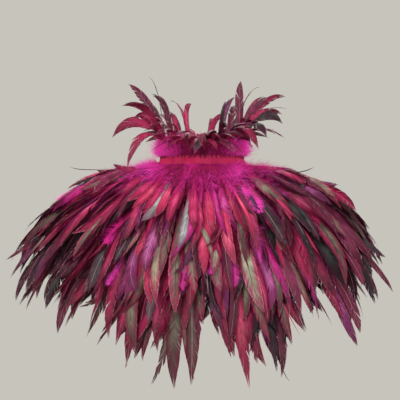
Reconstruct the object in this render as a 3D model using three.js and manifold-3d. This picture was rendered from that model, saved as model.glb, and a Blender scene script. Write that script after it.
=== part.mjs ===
// Feather cape with a standing collar, as worn, with no wearer in it.
// Millimetres, +Z up. The origin is the centre of the neck seam. -Y is the wearer's back, and the cape
// opens down the wearer's front, at +Y. Angles round the neck start at the back and grow towards +X.
import * as THREE from "three";
import { mergeVertices } from "three/addons/utils/BufferGeometryUtils.js";
import Module from "manifold-3d";

const wasm = await Module();
wasm.setup();

// Driving dimensions.
const SEAM_GAP = 0.3;
const YOKE_WALL = 2;
const STAND_WALL = 1.6;
const STAND_HEIGHT = 42;
const TAPE_WALL = 1.2;
const TAPE_HEIGHT = 15;
const HEADING_WALL = 1.6;
const AROUND = 40;
const NECK_OPENING_DEG = 3;
const HEM_OPENING_DEG = 5;
const FEATHER_ROOT_WIDTH = 3.6;
const FEATHER_RIDGE = 1.4;
// How much of a change in a feather's length its part past the bend takes up.
const TIP_CHANGE = 1.8;
// The cape hangs this much further out over the shoulder at -X.
const HANG_SHIFT = 6;

// The yoke's outer surface: how far out and how high it is over each shoulder, down the back and down
// the front.
const YOKE_PROFILE = [
  { place: "neck seam", sideOut: 77, sideUp: 0, backOut: 60, backUp: 0, frontOut: 58, frontUp: -22 },
  { place: "neck slope", sideOut: 130, sideUp: -19, backOut: 88, backUp: -52, frontOut: 82, frontUp: -76 },
  { place: "shoulder", sideOut: 180, sideUp: -42, backOut: 106, backUp: -104, frontOut: 102, frontUp: -128 },
  { place: "arm", sideOut: 208, sideUp: -86, backOut: 116, backUp: -158, frontOut: 118, frontUp: -181 },
  { place: "hem", sideOut: 214, sideUp: -108, backOut: 118, backUp: -180, frontOut: 122, frontUp: -203 },
];

// The yoke is cut in a back and two fronts, seamed over the shoulders, each over some of the columns
// that part the ring.
const YOKE_PANELS = [
  { name: "yoke_front_left", first: 0, last: AROUND / 4 },
  { name: "yoke_back", first: AROUND / 4, last: (AROUND * 3) / 4 },
  { name: "yoke_front_right", first: (AROUND * 3) / 4, last: AROUND },
];

// The collar stand's outer surface, by its height above the neck seam.
const STAND_PROFILE = [
  { height: 0, sideOut: 77, backOut: 60, frontOut: 58 },
  { height: TAPE_HEIGHT, sideOut: 70, backOut: 55.5, frontOut: 54 },
  { height: STAND_HEIGHT, sideOut: 60, backOut: 50, frontOut: 49 },
];

// Rows of the yoke's wall, as shares of the way from neck to hem. Each heading tape lies between two.
const YOKE_SHARES = [0, 0.027, 0.092, 0.195, 0.3, 0.355, 0.467, 0.58, 0.635, 0.75, 0.865, 0.92, 1];

// Each feather row: its heading tape's shares, and where its feathers bend and end, as distances out from
// the neck's axis and up from the seam.
const FEATHER_ROWS = [
  {
    name: "feather_row_neck", from: 0.027, to: 0.092, count: 36, width: 20, hemShare: 0,
    sideBend: [160, 3], sideTip: [236, -34],
    backBend: [126, -56], backTip: [156, -150],
    frontBend: [120, -80], frontTip: [152, -172],
  },
  {
    name: "feather_row_shoulder", from: 0.3, to: 0.355, count: 46, width: 20.5, hemShare: 0,
    sideBend: [220, -26], sideTip: [299, -100],
    backBend: [140, -128], backTip: [174, -233],
    frontBend: [136, -150], frontTip: [174, -256],
  },
  {
    name: "feather_row_middle", from: 0.58, to: 0.635, count: 54, width: 21, hemShare: 0.3,
    sideBend: [268, -68], sideTip: [340, -170],
    backBend: [152, -190], backTip: [184, -300],
    frontBend: [150, -212], frontTip: [184, -322],
  },
  {
    name: "feather_row_hem", from: 0.865, to: 0.92, count: 58, width: 21, hemShare: 1,
    sideBend: [280, -144], sideTip: [332, -246],
    backBend: [156, -245], backTip: [190, -352],
    frontBend: [158, -268], frontTip: [190, -372],
  },
];

// How far the lowest feathers reach at each angle round the neck, as a share of their mean length.
const HEM_REACH = [
  { deg: -180, reach: 0.97 },
  { deg: -90, reach: 0.93 },
  { deg: -63, reach: 0.9 },
  { deg: -45, reach: 0.86 },
  { deg: -28, reach: 0.87 },
  { deg: -17, reach: 0.93 },
  { deg: -8, reach: 1.05 },
  { deg: -2, reach: 1 },
  { deg: 4, reach: 0.82 },
  { deg: 13, reach: 1.03 },
  { deg: 17, reach: 0.94 },
  { deg: 22, reach: 1.03 },
  { deg: 30, reach: 0.88 },
  { deg: 44, reach: 0.86 },
  { deg: 57, reach: 1.04 },
  { deg: 66, reach: 0.92 },
  { deg: 90, reach: 0.95 },
  { deg: 180, reach: 0.97 },
];

// The collar's feathers stand on the collar stand, and leave it at this height above the seam.
const COLLAR_FEATHERS = { name: "collar_feathers", count: 33, width: 14.5, rootHeight: 7, leaveHeight: 17 };
// Their arch at the back, between, at the sides and at the front, out from the neck's axis and up.
const COLLAR_ARCHES = [
  { deg: 0, riseOut: 55, riseUp: 38, crownOut: 74, crownUp: 64, tipOut: 116, tipUp: 32 },
  { deg: 40, riseOut: 60, riseUp: 42, crownOut: 86, crownUp: 70, tipOut: 130, tipUp: 44 },
  { deg: 66, riseOut: 64, riseUp: 52, crownOut: 94, crownUp: 104, tipOut: 148, tipUp: 84 },
  { deg: 90, riseOut: 66, riseUp: 56, crownOut: 93, crownUp: 118, tipOut: 145, tipUp: 98 },
  { deg: 180, riseOut: 56, riseUp: 50, crownOut: 78, crownUp: 106, tipOut: 120, tipUp: 98 },
];
// Neighbouring collar feathers take these in turn, added to the tip's height and to its reach.
const COLLAR_TURNS = [
  { up: 2, out: 2 },
  { up: 46, out: -18 },
  { up: -38, out: 4 },
  { up: 22, out: -10 },
];

// The vane's width along a feather, as a share of its widest.
const FEATHER_STATIONS = [
  { along: 0.16, width: 0.42 },
  { along: 0.38, width: 0.82 },
  { along: 0.62, width: 1 },
  { along: 0.84, width: 0.62 },
];

const HOOK = { wire: 0.7, ringRadius: 2.3, ringAt: 9, height: 8, legSpread: 2.6, noseAt: -1.8, barAt: 0.6 };

const radians = THREE.MathUtils.degToRad;

// A repeatable number from -1 to 1 for feather i, a different series for each seed.
function wobble(i, seed) {
  const wave = Math.sin(i * 12.9898 + seed * 78.233) * 43758.5453;
  return (wave - Math.floor(wave)) * 2 - 1;
}

// A value read from a table's column at a position, along straight lines between its rows.
function readTable(rows, key, at, column) {
  const next = rows.findIndex((row) => row[key] >= at);
  if (next <= 0) return rows[next < 0 ? rows.length - 1 : 0][column];
  const low = rows[next - 1];
  const high = rows[next];
  return THREE.MathUtils.mapLinear(at, low[key], high[key], low[column], high[column]);
}

// The point at an angle round the neck on a ring given by its distance out and up at side, back and front.
function ringPoint(angle, sideOut, backOut, frontOut, sideUp, backUp, frontUp) {
  const facing = Math.cos(angle);
  const depth = facing > 0 ? backOut : frontOut;
  const up = facing > 0 ? backUp : frontUp;
  const across = Math.sin(angle) ** 2;
  return new THREE.Vector3(
    sideOut * Math.sin(angle),
    -depth * facing,
    sideUp * across + up * (1 - across),
  );
}

// Smooth lines down the yoke, over the shoulder, the back and the front. x holds the distance out, and y
// the height.
function profileLine(out, up) {
  const points = YOKE_PROFILE.map((row) => new THREE.Vector3(row[out], row[up], 0));
  return new THREE.CatmullRomCurve3(points, false, "centripetal");
}
const sideLine = profileLine("sideOut", "sideUp");
const backLine = profileLine("backOut", "backUp");
const frontLine = profileLine("frontOut", "frontUp");

function yokeSurface(angle, share) {
  const at = THREE.MathUtils.clamp(share, 0, 1);
  const side = sideLine.getPointAt(at);
  const back = backLine.getPointAt(at);
  const front = frontLine.getPointAt(at);
  return ringPoint(angle, side.x, back.x, front.x, side.y, back.y, front.y);
}

function standSurface(angle, height) {
  const seam = YOKE_PROFILE[0];
  const out = (column) => readTable(STAND_PROFILE, "height", height, column);
  const point = ringPoint(
    angle, out("sideOut"), out("backOut"), out("frontOut"), seam.sideUp, seam.backUp, seam.frontUp,
  );
  point.z += height;
  return point;
}

// The outward normal of a surface(angle, along) whose second argument runs down the wall, or up it if
// flip is -1.
function surfaceNormal(surface, angle, along, step, flip) {
  const turn = 0.01;
  const last = surface === yokeSurface ? 1 : STAND_HEIGHT;
  const low = Math.max(along - step, 0);
  const high = Math.min(along + step, last);
  const across = surface(angle + turn, along).sub(surface(angle - turn, along));
  const down = surface(angle, high).sub(surface(angle, low));
  return down.cross(across).multiplyScalar(flip).normalize();
}

function yokePoint(angle, share, lift) {
  const normal = surfaceNormal(yokeSurface, angle, share, 0.02, 1);
  return yokeSurface(angle, share).addScaledVector(normal, lift);
}

function standPoint(angle, height, lift) {
  const normal = surfaceNormal(standSurface, angle, height, 1, -1);
  return standSurface(angle, height).addScaledVector(normal, lift);
}

// How far round the wall reaches on each side at a share of the way down, leaving the front open.
function wallReach(share) {
  return Math.PI - radians(THREE.MathUtils.lerp(NECK_OPENING_DEG, HEM_OPENING_DEG, share));
}

// The angle of a column at a share of the way down. The columns part the wall's reach evenly.
function columnAngle(column, reach) {
  return reach * ((2 * column) / AROUND - 1);
}

// A point on the flat facet between two columns, where a feather is sewn to its heading tape.
function facetPoint(pointAt, angle, along, reach, lift) {
  const column = ((angle / reach + 1) * AROUND) / 2;
  const low = Math.floor(column);
  const start = pointAt(columnAngle(low, reach), along, lift);
  return start.lerp(pointAt(columnAngle(low + 1, reach), along, lift), column - low);
}

// A closed wall from two point grids, outer[row][column] and inner[row][column].
function wallGeometry(outer, inner) {
  const rows = outer.length;
  const columns = outer[0].length;
  const positions = [...outer.flat(), ...inner.flat()].flatMap((point) => point.toArray());
  const outside = (row, column) => row * columns + column;
  const inside = (row, column) => rows * columns + row * columns + column;
  const indices = [];
  const quad = (a, b, c, d) => indices.push(a, b, c, a, c, d);
  for (let row = 0; row + 1 < rows; row++) {
    for (let column = 0; column + 1 < columns; column++) {
      const right = column + 1;
      const below = row + 1;
      quad(outside(row, column), outside(below, column), outside(below, right), outside(row, right));
      quad(inside(row, column), inside(row, right), inside(below, right), inside(below, column));
    }
  }
  for (let row = 0; row + 1 < rows; row++) {
    const last = columns - 1;
    quad(outside(row, 0), inside(row, 0), inside(row + 1, 0), outside(row + 1, 0));
    quad(outside(row, last), outside(row + 1, last), inside(row + 1, last), inside(row, last));
  }
  for (let column = 0; column + 1 < columns; column++) {
    const last = rows - 1;
    quad(outside(0, column), outside(0, column + 1), inside(0, column + 1), inside(0, column));
    quad(outside(last, column), inside(last, column), inside(last, column + 1), outside(last, column + 1));
  }
  const geometry = new THREE.BufferGeometry();
  geometry.setAttribute("position", new THREE.Float32BufferAttribute(positions, 3));
  geometry.setIndex(indices);
  return geometry;
}

// A band of wall: pointAt(angle, along, lift) at each of the given places along, between two lifts. It
// takes in the columns from first to last, of the AROUND that part the whole ring.
function bandGeometry(pointAt, places, reachAt, outerLift, innerLift, first = 0, last = AROUND) {
  const grid = (lift) =>
    places.map((along) =>
      Array.from({ length: last - first + 1 }, (_, i) =>
        pointAt(columnAngle(first + i, reachAt(along)), along, lift),
      ),
    );
  return wallGeometry(grid(outerLift), grid(innerLift));
}

// A yoke panel's wall, its two long edges drawn in by half of the gap at each seam.
function yokePanel(first, last) {
  const wall = bandGeometry(yokePoint, YOKE_SHARES, wallReach, 0, -YOKE_WALL, first, last);
  const columns = last - first + 1;
  const points = wall.attributes.position;
  const drawIn = (edge, neighbour) => {
    const from = new THREE.Vector3().fromBufferAttribute(points, edge);
    const towards = new THREE.Vector3().fromBufferAttribute(points, neighbour).sub(from).normalize();
    from.addScaledVector(towards, SEAM_GAP / 2);
    points.setXYZ(edge, from.x, from.y, from.z);
  };
  for (let row = 0; row < points.count; row += columns) {
    if (first > 0) drawIn(row, row + 1);
    if (last < AROUND) drawIn(row + columns - 1, row + columns - 2);
  }
  return wall;
}

function solidFrom(geometry) {
  const bare = geometry.clone();
  bare.deleteAttribute("normal");
  bare.deleteAttribute("uv");
  const merged = mergeVertices(bare, 1e-3);
  const solid = new wasm.Manifold(
    new wasm.Mesh({
      numProp: 3,
      vertProperties: merged.attributes.position.array,
      triVerts: new Uint32Array(merged.index.array),
    }),
  );
  return solid;
}

function geometryFrom(solid) {
  const mesh = solid.getMesh();
  const geometry = new THREE.BufferGeometry();
  geometry.setAttribute("position", new THREE.BufferAttribute(mesh.vertProperties, 3));
  geometry.setIndex(new THREE.BufferAttribute(mesh.triVerts, 1));
  geometry.computeVertexNormals();
  return geometry;
}

// One feather, three-sided with a ridge along its outer face, through stations of centre and width.
function featherGeometry(stations, tip) {
  const positions = [];
  for (const { centre, across, outward, width } of stations) {
    const left = centre.clone().addScaledVector(across, -width / 2);
    const right = centre.clone().addScaledVector(across, width / 2);
    const ridge = centre.clone().addScaledVector(outward, FEATHER_RIDGE);
    positions.push(...left.toArray(), ...right.toArray(), ...ridge.toArray());
  }
  positions.push(...tip.toArray());
  const last = (stations.length - 1) * 3;
  const point = stations.length * 3;
  const edges = [[0, 1], [1, 2], [2, 0]];
  const indices = [0, 1, 2];
  for (let base = 0; base < last; base += 3) {
    for (const [a, b] of edges) {
      indices.push(base + a, base + 3 + b, base + b, base + a, base + 3 + a, base + 3 + b);
    }
  }
  for (const [a, b] of edges) indices.push(last + a, point, last + b);
  const geometry = new THREE.BufferGeometry();
  geometry.setAttribute("position", new THREE.Float32BufferAttribute(positions, 3));
  geometry.setIndex(indices);
  return geometry;
}

// Stations along a curve of feather centres. A feather's width lies along the level direction, as near as
// its slope allows, and its ridge is on the side that level cross forward points to.
function stationsAlong(curve, places, widest, level) {
  return places.map(({ along, width }) => {
    const centre = curve.getPoint(along);
    const forward = curve.getTangent(along);
    const across = level.clone().addScaledVector(forward, -level.dot(forward)).normalize();
    const outward = across.clone().cross(forward).normalize();
    return { centre, across, outward, width: width * widest };
  });
}

// Angles that part a ring evenly by its length, between the two ends of its reach.
function evenAngles(count, sideOut, depthOut, reach) {
  const steps = 720;
  const lengths = [0];
  for (let i = 1; i <= steps; i++) {
    const angle = reach * ((2 * (i - 0.5)) / steps - 1);
    const speed = Math.hypot(sideOut * Math.cos(angle), depthOut * Math.sin(angle));
    lengths.push(lengths[i - 1] + speed);
  }
  const total = lengths[steps];
  return Array.from({ length: count }, (_, i) => {
    const wanted = (total * (i + 0.5)) / count;
    const found = lengths.findIndex((length) => length >= wanted);
    return reach * ((2 * found) / steps - 1);
  });
}

// A feather row on the yoke: its heading tape with the feathers' roots fused into it.
function featherRow(row) {
  const middle = (row.from + row.to) / 2;
  const heading = bandGeometry(
    yokePoint, [row.from, row.to], wallReach, SEAM_GAP + HEADING_WALL, SEAM_GAP,
  );
  let solid = solidFrom(heading);
  const rootLift = SEAM_GAP + HEADING_WALL / 2;
  const reach = wallReach(row.to) - radians(1.2);
  const angles = evenAngles(row.count, row.sideBend[0], row.backBend[0], reach);
  angles.forEach((angle, i) => {
    const ring = (key) =>
      ringPoint(
        angle,
        row[`side${key}`][0], row[`back${key}`][0], row[`front${key}`][0],
        row[`side${key}`][1], row[`back${key}`][1], row[`front${key}`][1],
      );
    const root = facetPoint(yokePoint, angle, middle, wallReach(middle), rootLift);
    const bend = ring("Bend");
    const hem = readTable(HEM_REACH, "deg", THREE.MathUtils.radToDeg(angle), "reach");
    const uneven = (i % 2 ? 0.03 : -0.05) + 0.03 * wobble(i, row.count);
    const change = (hem - 1) * row.hemShare + uneven;
    const tip = ring("Tip");
    tip.sub(bend).multiplyScalar(1 + change * TIP_CHANGE).add(bend);
    const level = new THREE.Vector3(Math.cos(angle), Math.sin(angle), 0);
    tip.addScaledVector(level, 3 * wobble(i, row.width));
    tip.x -= HANG_SHIFT;
    const curve = new THREE.QuadraticBezierCurve3(root, bend, tip);
    level.negate();
    const rootStation = stationsAlong(curve, [{ along: 0.005, width: 1 }], FEATHER_ROOT_WIDTH, level);
    rootStation[0].centre.addScaledVector(rootStation[0].outward, -FEATHER_RIDGE / 3);
    const vane = stationsAlong(curve, FEATHER_STATIONS, row.width, level);
    solid = solid.add(solidFrom(featherGeometry([...rootStation, ...vane], tip)));
  });
  return geometryFrom(solid);
}

// The collar's feather row: its heading tape on the stand, under the neck tape, and feathers that rise
// and arch outwards.
function collarRow() {
  const reachAt = () => wallReach(0);
  const heading = bandGeometry(
    standPoint, [12, 2], reachAt, SEAM_GAP + HEADING_WALL - 0.1, SEAM_GAP,
  );
  let solid = solidFrom(heading);
  const seam = YOKE_PROFILE[0];
  const widest = COLLAR_ARCHES.find((row) => row.deg === 90);
  const narrowest = COLLAR_ARCHES[0];
  const reach = wallReach(0) - 0.1;
  const angles = evenAngles(COLLAR_FEATHERS.count, widest.crownOut, narrowest.crownOut, reach);
  angles.forEach((angle, i) => {
    const deg = Math.abs(THREE.MathUtils.radToDeg(angle));
    const arch = (column) => readTable(COLLAR_ARCHES, "deg", deg, column);
    const turn = COLLAR_TURNS[i % COLLAR_TURNS.length];
    const shown = THREE.MathUtils.clamp(deg / 60, 0.25, 1);
    const seamUp = ringPoint(angle, 0, 0, 0, seam.sideUp, seam.backUp, seam.frontUp).z;
    const at = (out, up) =>
      new THREE.Vector3(out * Math.sin(angle), -out * Math.cos(angle), up + seamUp);
    const rootLift = SEAM_GAP + 0.5;
    const root = standPoint(angle, COLLAR_FEATHERS.rootHeight, rootLift);
    const leave = standPoint(angle, COLLAR_FEATHERS.leaveHeight, rootLift);
    const tip = at(arch("tipOut") + turn.out * shown, arch("tipUp") + turn.up * shown);
    const crown = at(arch("crownOut"), arch("crownUp") + turn.up * shown * 0.6);
    const curve = new THREE.CubicBezierCurve3(leave, at(arch("riseOut"), arch("riseUp")), crown, tip);
    const level = new THREE.Vector3(Math.cos(angle), Math.sin(angle), 0);
    const upStand = leave.clone().sub(root).normalize();
    const outward = level.clone().cross(upStand).normalize();
    const straight = [root, leave].map((centre) => ({
      centre, across: level, outward: outward.clone().multiplyScalar(0.6), width: FEATHER_ROOT_WIDTH,
    }));
    const vane = stationsAlong(curve, FEATHER_STATIONS, COLLAR_FEATHERS.width, level);
    solid = solid.add(solidFrom(featherGeometry([...straight, ...vane], tip)));
  });
  return geometryFrom(solid);
}

function wireAlong(points, radius) {
  const section = new THREE.Shape();
  section.absarc(0, 0, radius, 0, Math.PI * 2, false);
  const path = new THREE.CatmullRomCurve3(points, false, "centripetal");
  return new THREE.ExtrudeGeometry(section, {
    extrudePath: path,
    steps: 10,
    curveSegments: 3,
    bevelEnabled: false,
  });
}

function sewingRing(x, z) {
  const ring = new THREE.TorusGeometry(HOOK.ringRadius, HOOK.wire, 5, 10);
  ring.rotateX(Math.PI / 2);
  ring.translate(x, 0, z);
  return ring;
}

// The hook at one end of the neck tape. x runs along the tape from the middle of the gap, y out of it.
function hookGeometry() {
  const arm = [
    [HOOK.ringAt - 1, 0], [4.5, 0.4], [2.4, 1.9], [0, 2.2],
    [HOOK.noseAt, 1.6], [HOOK.noseAt - 0.5, 0], [-1.3, -1.6], [0.4, -2],
  ].map(([x, y]) => new THREE.Vector3(x, y, 0));
  const cross = [-HOOK.legSpread, HOOK.legSpread].map(
    (z) => new THREE.Vector3(HOOK.ringAt - 1, 0, z),
  );
  return geometryFrom(
    solidFrom(wireAlong(arm, HOOK.wire))
      .add(solidFrom(wireAlong(cross, HOOK.wire)))
      .add(solidFrom(sewingRing(HOOK.ringAt, HOOK.legSpread)))
      .add(solidFrom(sewingRing(HOOK.ringAt, -HOOK.legSpread))),
  );
}

// The eye at the tape's other end, a loop whose bar the hook's nose passes behind.
function eyeGeometry() {
  const spread = HOOK.legSpread;
  const loop = [
    [-HOOK.ringAt, spread], [-3, spread * 0.9], [-0.4, spread * 0.8], [HOOK.barAt, spread * 0.4],
    [HOOK.barAt, -spread * 0.4], [-0.4, -spread * 0.8], [-3, -spread * 0.9], [-HOOK.ringAt, -spread],
  ].map(([x, z]) => new THREE.Vector3(x, 0, z));
  return geometryFrom(
    solidFrom(wireAlong(loop, HOOK.wire))
      .add(solidFrom(sewingRing(-HOOK.ringAt, spread)))
      .add(solidFrom(sewingRing(-HOOK.ringAt, -spread))),
  );
}

function cloth(color, roughness) {
  return new THREE.MeshStandardMaterial({ color, roughness, metalness: 0 });
}

const MATERIALS = {
  yoke: cloth(0x5a0f2c, 0.9),
  stand: cloth(0x7a1038, 0.9),
  tape: cloth(0xb02450, 0.75),
  collar: cloth(0x9c1f4c, 0.6),
  metal: new THREE.MeshStandardMaterial({ color: 0x2b2b2e, roughness: 0.35, metalness: 0.9 }),
};
const ROW_MATERIALS = {
  feather_row_neck: cloth(0xb81c5c, 0.6),
  feather_row_shoulder: cloth(0x8c2848, 0.6),
  feather_row_middle: cloth(0x6e2340, 0.6),
  feather_row_hem: cloth(0x4f1f33, 0.6),
};

const cape = new THREE.Group();

function place(name, geometry, material) {
  const mesh = new THREE.Mesh(geometry, material);
  mesh.name = name;
  cape.add(mesh);
  return mesh;
}

for (const { name, first, last } of YOKE_PANELS) place(name, yokePanel(first, last), MATERIALS.yoke);

const collarReach = () => wallReach(0);
const standRows = [STAND_HEIGHT, 28, TAPE_HEIGHT, 12, 2, 0.5];
place(
  "collar_stand", bandGeometry(standPoint, standRows, collarReach, 0, -STAND_WALL), MATERIALS.stand,
);

const tapeLift = SEAM_GAP + HEADING_WALL + 0.2;
const tapeRows = [TAPE_HEIGHT, 0.8];
place(
  "neck_tape",
  bandGeometry(standPoint, tapeRows, collarReach, tapeLift + TAPE_WALL, tapeLift),
  MATERIALS.tape,
);

for (const row of FEATHER_ROWS) place(row.name, featherRow(row), ROW_MATERIALS[row.name]);
place(COLLAR_FEATHERS.name, collarRow(), MATERIALS.collar);

// The hook and the eye lie on the tape, which leans inwards as it rises.
const fastening = standPoint(Math.PI, HOOK.height, tapeLift + TAPE_WALL + SEAM_GAP + HOOK.wire);
const lean = Math.atan2(STAND_PROFILE[0].frontOut - STAND_PROFILE[1].frontOut, TAPE_HEIGHT);
for (const [name, geometry] of [["hook", hookGeometry()], ["eye", eyeGeometry()]]) {
  const piece = place(name, geometry, MATERIALS.metal);
  piece.position.copy(fastening);
  piece.rotation.x = lean;
}

export default cape;
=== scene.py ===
"""Feather cape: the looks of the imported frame. Tables are in millimetres, as in the part's source."""

import math

import bpy
import numpy as np
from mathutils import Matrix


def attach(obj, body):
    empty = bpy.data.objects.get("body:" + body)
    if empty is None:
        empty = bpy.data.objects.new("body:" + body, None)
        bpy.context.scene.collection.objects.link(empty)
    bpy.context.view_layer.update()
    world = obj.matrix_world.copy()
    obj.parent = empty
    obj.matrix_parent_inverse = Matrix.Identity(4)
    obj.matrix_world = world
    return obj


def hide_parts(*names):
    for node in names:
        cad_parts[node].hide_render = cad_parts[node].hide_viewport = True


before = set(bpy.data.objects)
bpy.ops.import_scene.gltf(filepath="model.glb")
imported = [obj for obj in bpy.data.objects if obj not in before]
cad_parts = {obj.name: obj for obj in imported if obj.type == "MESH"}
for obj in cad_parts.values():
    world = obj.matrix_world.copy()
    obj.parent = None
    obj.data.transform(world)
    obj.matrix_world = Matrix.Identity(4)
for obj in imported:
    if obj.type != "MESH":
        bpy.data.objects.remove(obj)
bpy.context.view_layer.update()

MM = 0.001
STAND_HEIGHT = 42.0
STAND_WALL = 1.6
FRONT_DROP = 22.0
TAPE_HEIGHT = 15.0
TAPE_WALL = 1.2
SEAM_GAP = 0.3
HEADING_WALL = 1.6
NECK_OPENING = math.radians(3)
HEM_OPENING = math.radians(5)
HANG_SHIFT = 6.0
TIP_CHANGE = 1.8

# The camera stands level with the middle of the photograph's view.
CAMERA_AT = np.array([-3.6, -1900.0, -63.0])
CAMERA_LENS = 95.0
CAMERA_SENSOR = 36.0
MM_A_PIXEL = 1.8
MIDDLE_PIXEL = 200

# The yoke's outer surface from neck to hem: (out, up) over the shoulder, down the back and down the front.
YOKE_SIDE = [(77, 0), (130, -19), (180, -42), (208, -86), (214, -108)]
YOKE_BACK = [(60, 0), (88, -52), (106, -104), (116, -158), (118, -180)]
YOKE_FRONT = [(58, -22), (82, -76), (102, -128), (118, -181), (122, -203)]

# The collar stand by its height: how far out at the side, the back and the front.
STAND = {"height": [0, 15, 42], "side": [77, 70, 60], "back": [60, 55.5, 50], "front": [58, 54, 49]}

# The four feather rows, top to bottom. Rows between them are read off along straight lines.
ROWS = {
    "share": [0.0595, 0.3275, 0.6075, 0.8925],
    "side_bend": [(160, 3), (220, -26), (268, -68), (280, -144)],
    "side_tip": [(236, -34), (299, -100), (340, -170), (332, -246)],
    "back_bend": [(126, -56), (140, -128), (152, -190), (156, -245)],
    "back_tip": [(156, -150), (174, -233), (184, -300), (190, -352)],
    "front_bend": [(120, -80), (136, -150), (150, -212), (158, -268)],
    "front_tip": [(152, -172), (174, -256), (184, -322), (190, -372)],
    "hem_share": [0, 0, 0.3, 1],
    # Row tone darkens the lower rows towards the hem: painted shade, as less light reaches down the cape.
    "tone": [1, 0.88, 0.74, 0.56],
}

# How far the hem's feathers reach at angles round the neck, and where they part at the back.
HEM_DEG = [-180, -90, -63, -45, -28, -17, -8, -2, 4, 13, 17, 22, 30, 44, 57, 66, 90, 180]
HEM_REACH = [
    0.97, 0.93, 0.9, 0.86, 0.87, 0.93, 1.05, 1, 0.82, 1.03, 0.94, 1.03, 0.88, 0.86, 1.04, 0.92, 0.95, 0.97,
]
HEM_PARTING = 4.0
HEM_PARTING_WIDTH = 4.5

# The collar feathers' arch at the back, between, at the sides and at the front.
ARCHES = {
    "deg": [0, 40, 66, 90, 180],
    "rise_out": [55, 60, 64, 66, 56],
    "rise_up": [38, 42, 52, 56, 50],
    "crown_out": [74, 86, 94, 93, 78],
    "crown_up": [64, 70, 104, 118, 106],
    "tip_out": [116, 130, 148, 145, 120],
    "tip_up": [32, 44, 84, 98, 98],
}
# Neighbouring collar feathers take these in turn, added to the tip's height and to its reach.
COLLAR_TURNS = np.array([(2, 2), (46, -18), (-38, 4), (22, -10)], float)


def rows_of(columns, rows):
    """A table's rows by the names of their columns. A row that stops short leaves its last columns out."""
    return [dict(zip(columns, row)) for row in rows]


# Feather kinds: sRGB colours along the quill, along the edges and of a painted highlight where light would
# catch the vane (a painted sheen), and how often each comes up near the middle of the back and front, and
# over the shoulders.
KINDS = rows_of(("name", "centre", "edge", "sheen", "odds"), [
    ("crimson", (174, 24, 84), (138, 12, 62), (212, 66, 122), (0.26, 0.14)),
    ("furnace", (106, 94, 84), (150, 26, 72), (162, 152, 130), (0.27, 0.17)),
    ("dark", (30, 26, 30), (66, 12, 44), (70, 78, 78), (0.11, 0.26)),
    ("purple", (124, 34, 96), (112, 18, 78), (180, 96, 154), (0.06, 0.08)),
    # The silver kind is pale grey, and its pale grey also stands in for the glint on glossy dark feathers: a
    # painted highlight.
    ("silver", (128, 134, 134), (128, 92, 112), (184, 198, 198), (0.02, 0.01)),
    ("magenta", (190, 26, 124), (152, 14, 98), (216, 80, 168), (0.03, 0.015)),
    ("burgundy", (88, 18, 50), (116, 18, 62), (142, 46, 88), (0.12, 0.27)),
    ("coral", (206, 50, 98), (170, 22, 76), (232, 104, 138), (0.08, 0.03)),
    ("olive", (126, 126, 106), (144, 40, 80), (180, 190, 160), (0.06, 0.04)),
])
KIND_NAMES = [kind["name"] for kind in KINDS]


def kind_values(names):
    return np.array([(KIND_NAMES.index(name) + 0.5) / len(KINDS) for name in names])


def srgb(colour):
    """An sRGB colour of 0 to 255 as linear values for a node."""
    scaled = np.array(colour, float) / 255
    linear = np.where(scaled <= 0.04045, scaled / 12.92, ((scaled + 0.055) / 1.055) ** 2.4)
    return (*linear, 1.0)


def bell(distance, width):
    return np.exp(-((distance / width) ** 2))


# The surfaces that everything is sewn to.

LINE_STEPS = 60
TURN_STEP = 0.01
SHARE_STEP = 0.02


def profile_line(rows):
    """Distance out and height at a share of the way along a smooth line through the rows."""
    p = np.array(rows, float)
    padded = np.vstack([2 * p[0] - p[1], p, 2 * p[-1] - p[-2]])
    w = np.linspace(0, 1, LINE_STEPS)[:, None]
    dense = []
    for i in range(len(p) - 1):
        p0, p1, p2, p3 = padded[i : i + 4]
        d0, d1, d2 = (np.linalg.norm(b - a) ** 0.5 for a, b in ((p0, p1), (p1, p2), (p2, p3)))
        t1 = ((p1 - p0) / d0 - (p2 - p0) / (d0 + d1) + (p2 - p1) / d1) * d1
        t2 = ((p2 - p1) / d1 - (p3 - p1) / (d1 + d2) + (p3 - p2) / d2) * d1
        square = 3 * (p2 - p1) - 2 * t1 - t2
        cube = 2 * (p1 - p2) + t1 + t2
        dense.append(p1 + t1 * w + square * w**2 + cube * w**3)
    dense = np.concatenate(dense)
    length = np.concatenate([[0], np.cumsum(np.linalg.norm(np.diff(dense, axis=0), axis=1))])
    share = length / length[-1]
    return lambda s: (np.interp(s, share, dense[:, 0]), np.interp(s, share, dense[:, 1]))


side_line, back_line, front_line = (profile_line(rows) for rows in (YOKE_SIDE, YOKE_BACK, YOKE_FRONT))


def ring_point(angle, side, back, front):
    """Points at angles round the neck, from (out, up) at the side, the back and the front."""
    facing = np.cos(angle)
    depth = np.where(facing > 0, back[0], front[0])
    up = np.where(facing > 0, back[1], front[1])
    across = np.sin(angle) ** 2
    return np.stack([side[0] * np.sin(angle), -depth * facing, side[1] * across + up * (1 - across)], -1)


def yoke_surface(angle, share):
    s = np.clip(share, 0, 1)
    return ring_point(angle, side_line(s), back_line(s), front_line(s))


def stand_surface(angle, height):
    side, back, front = (np.interp(height, STAND["height"], STAND[key]) for key in ("side", "back", "front"))
    rise = height * np.ones_like(angle)
    return ring_point(angle, (side, rise), (back, rise), (front, rise - FRONT_DROP))


def unit(v):
    return v / np.maximum(np.linalg.norm(v, axis=-1, keepdims=True), 1e-9)


def on_yoke(angle, share, lift):
    across = yoke_surface(angle + TURN_STEP, share) - yoke_surface(angle - TURN_STEP, share)
    down = yoke_surface(angle, share + SHARE_STEP) - yoke_surface(angle, share - SHARE_STEP)
    return yoke_surface(angle, share) + unit(np.cross(down, across)) * np.asarray(lift)[..., None]


def on_stand(angle, height, lift):
    across = stand_surface(angle + TURN_STEP, height) - stand_surface(angle - TURN_STEP, height)
    middle = np.clip(height, 1, STAND_HEIGHT)
    rise = stand_surface(angle, middle + 1) - stand_surface(angle, middle - 1)
    return stand_surface(angle, height) + unit(np.cross(across, rise)) * np.asarray(lift)[..., None]


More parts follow.
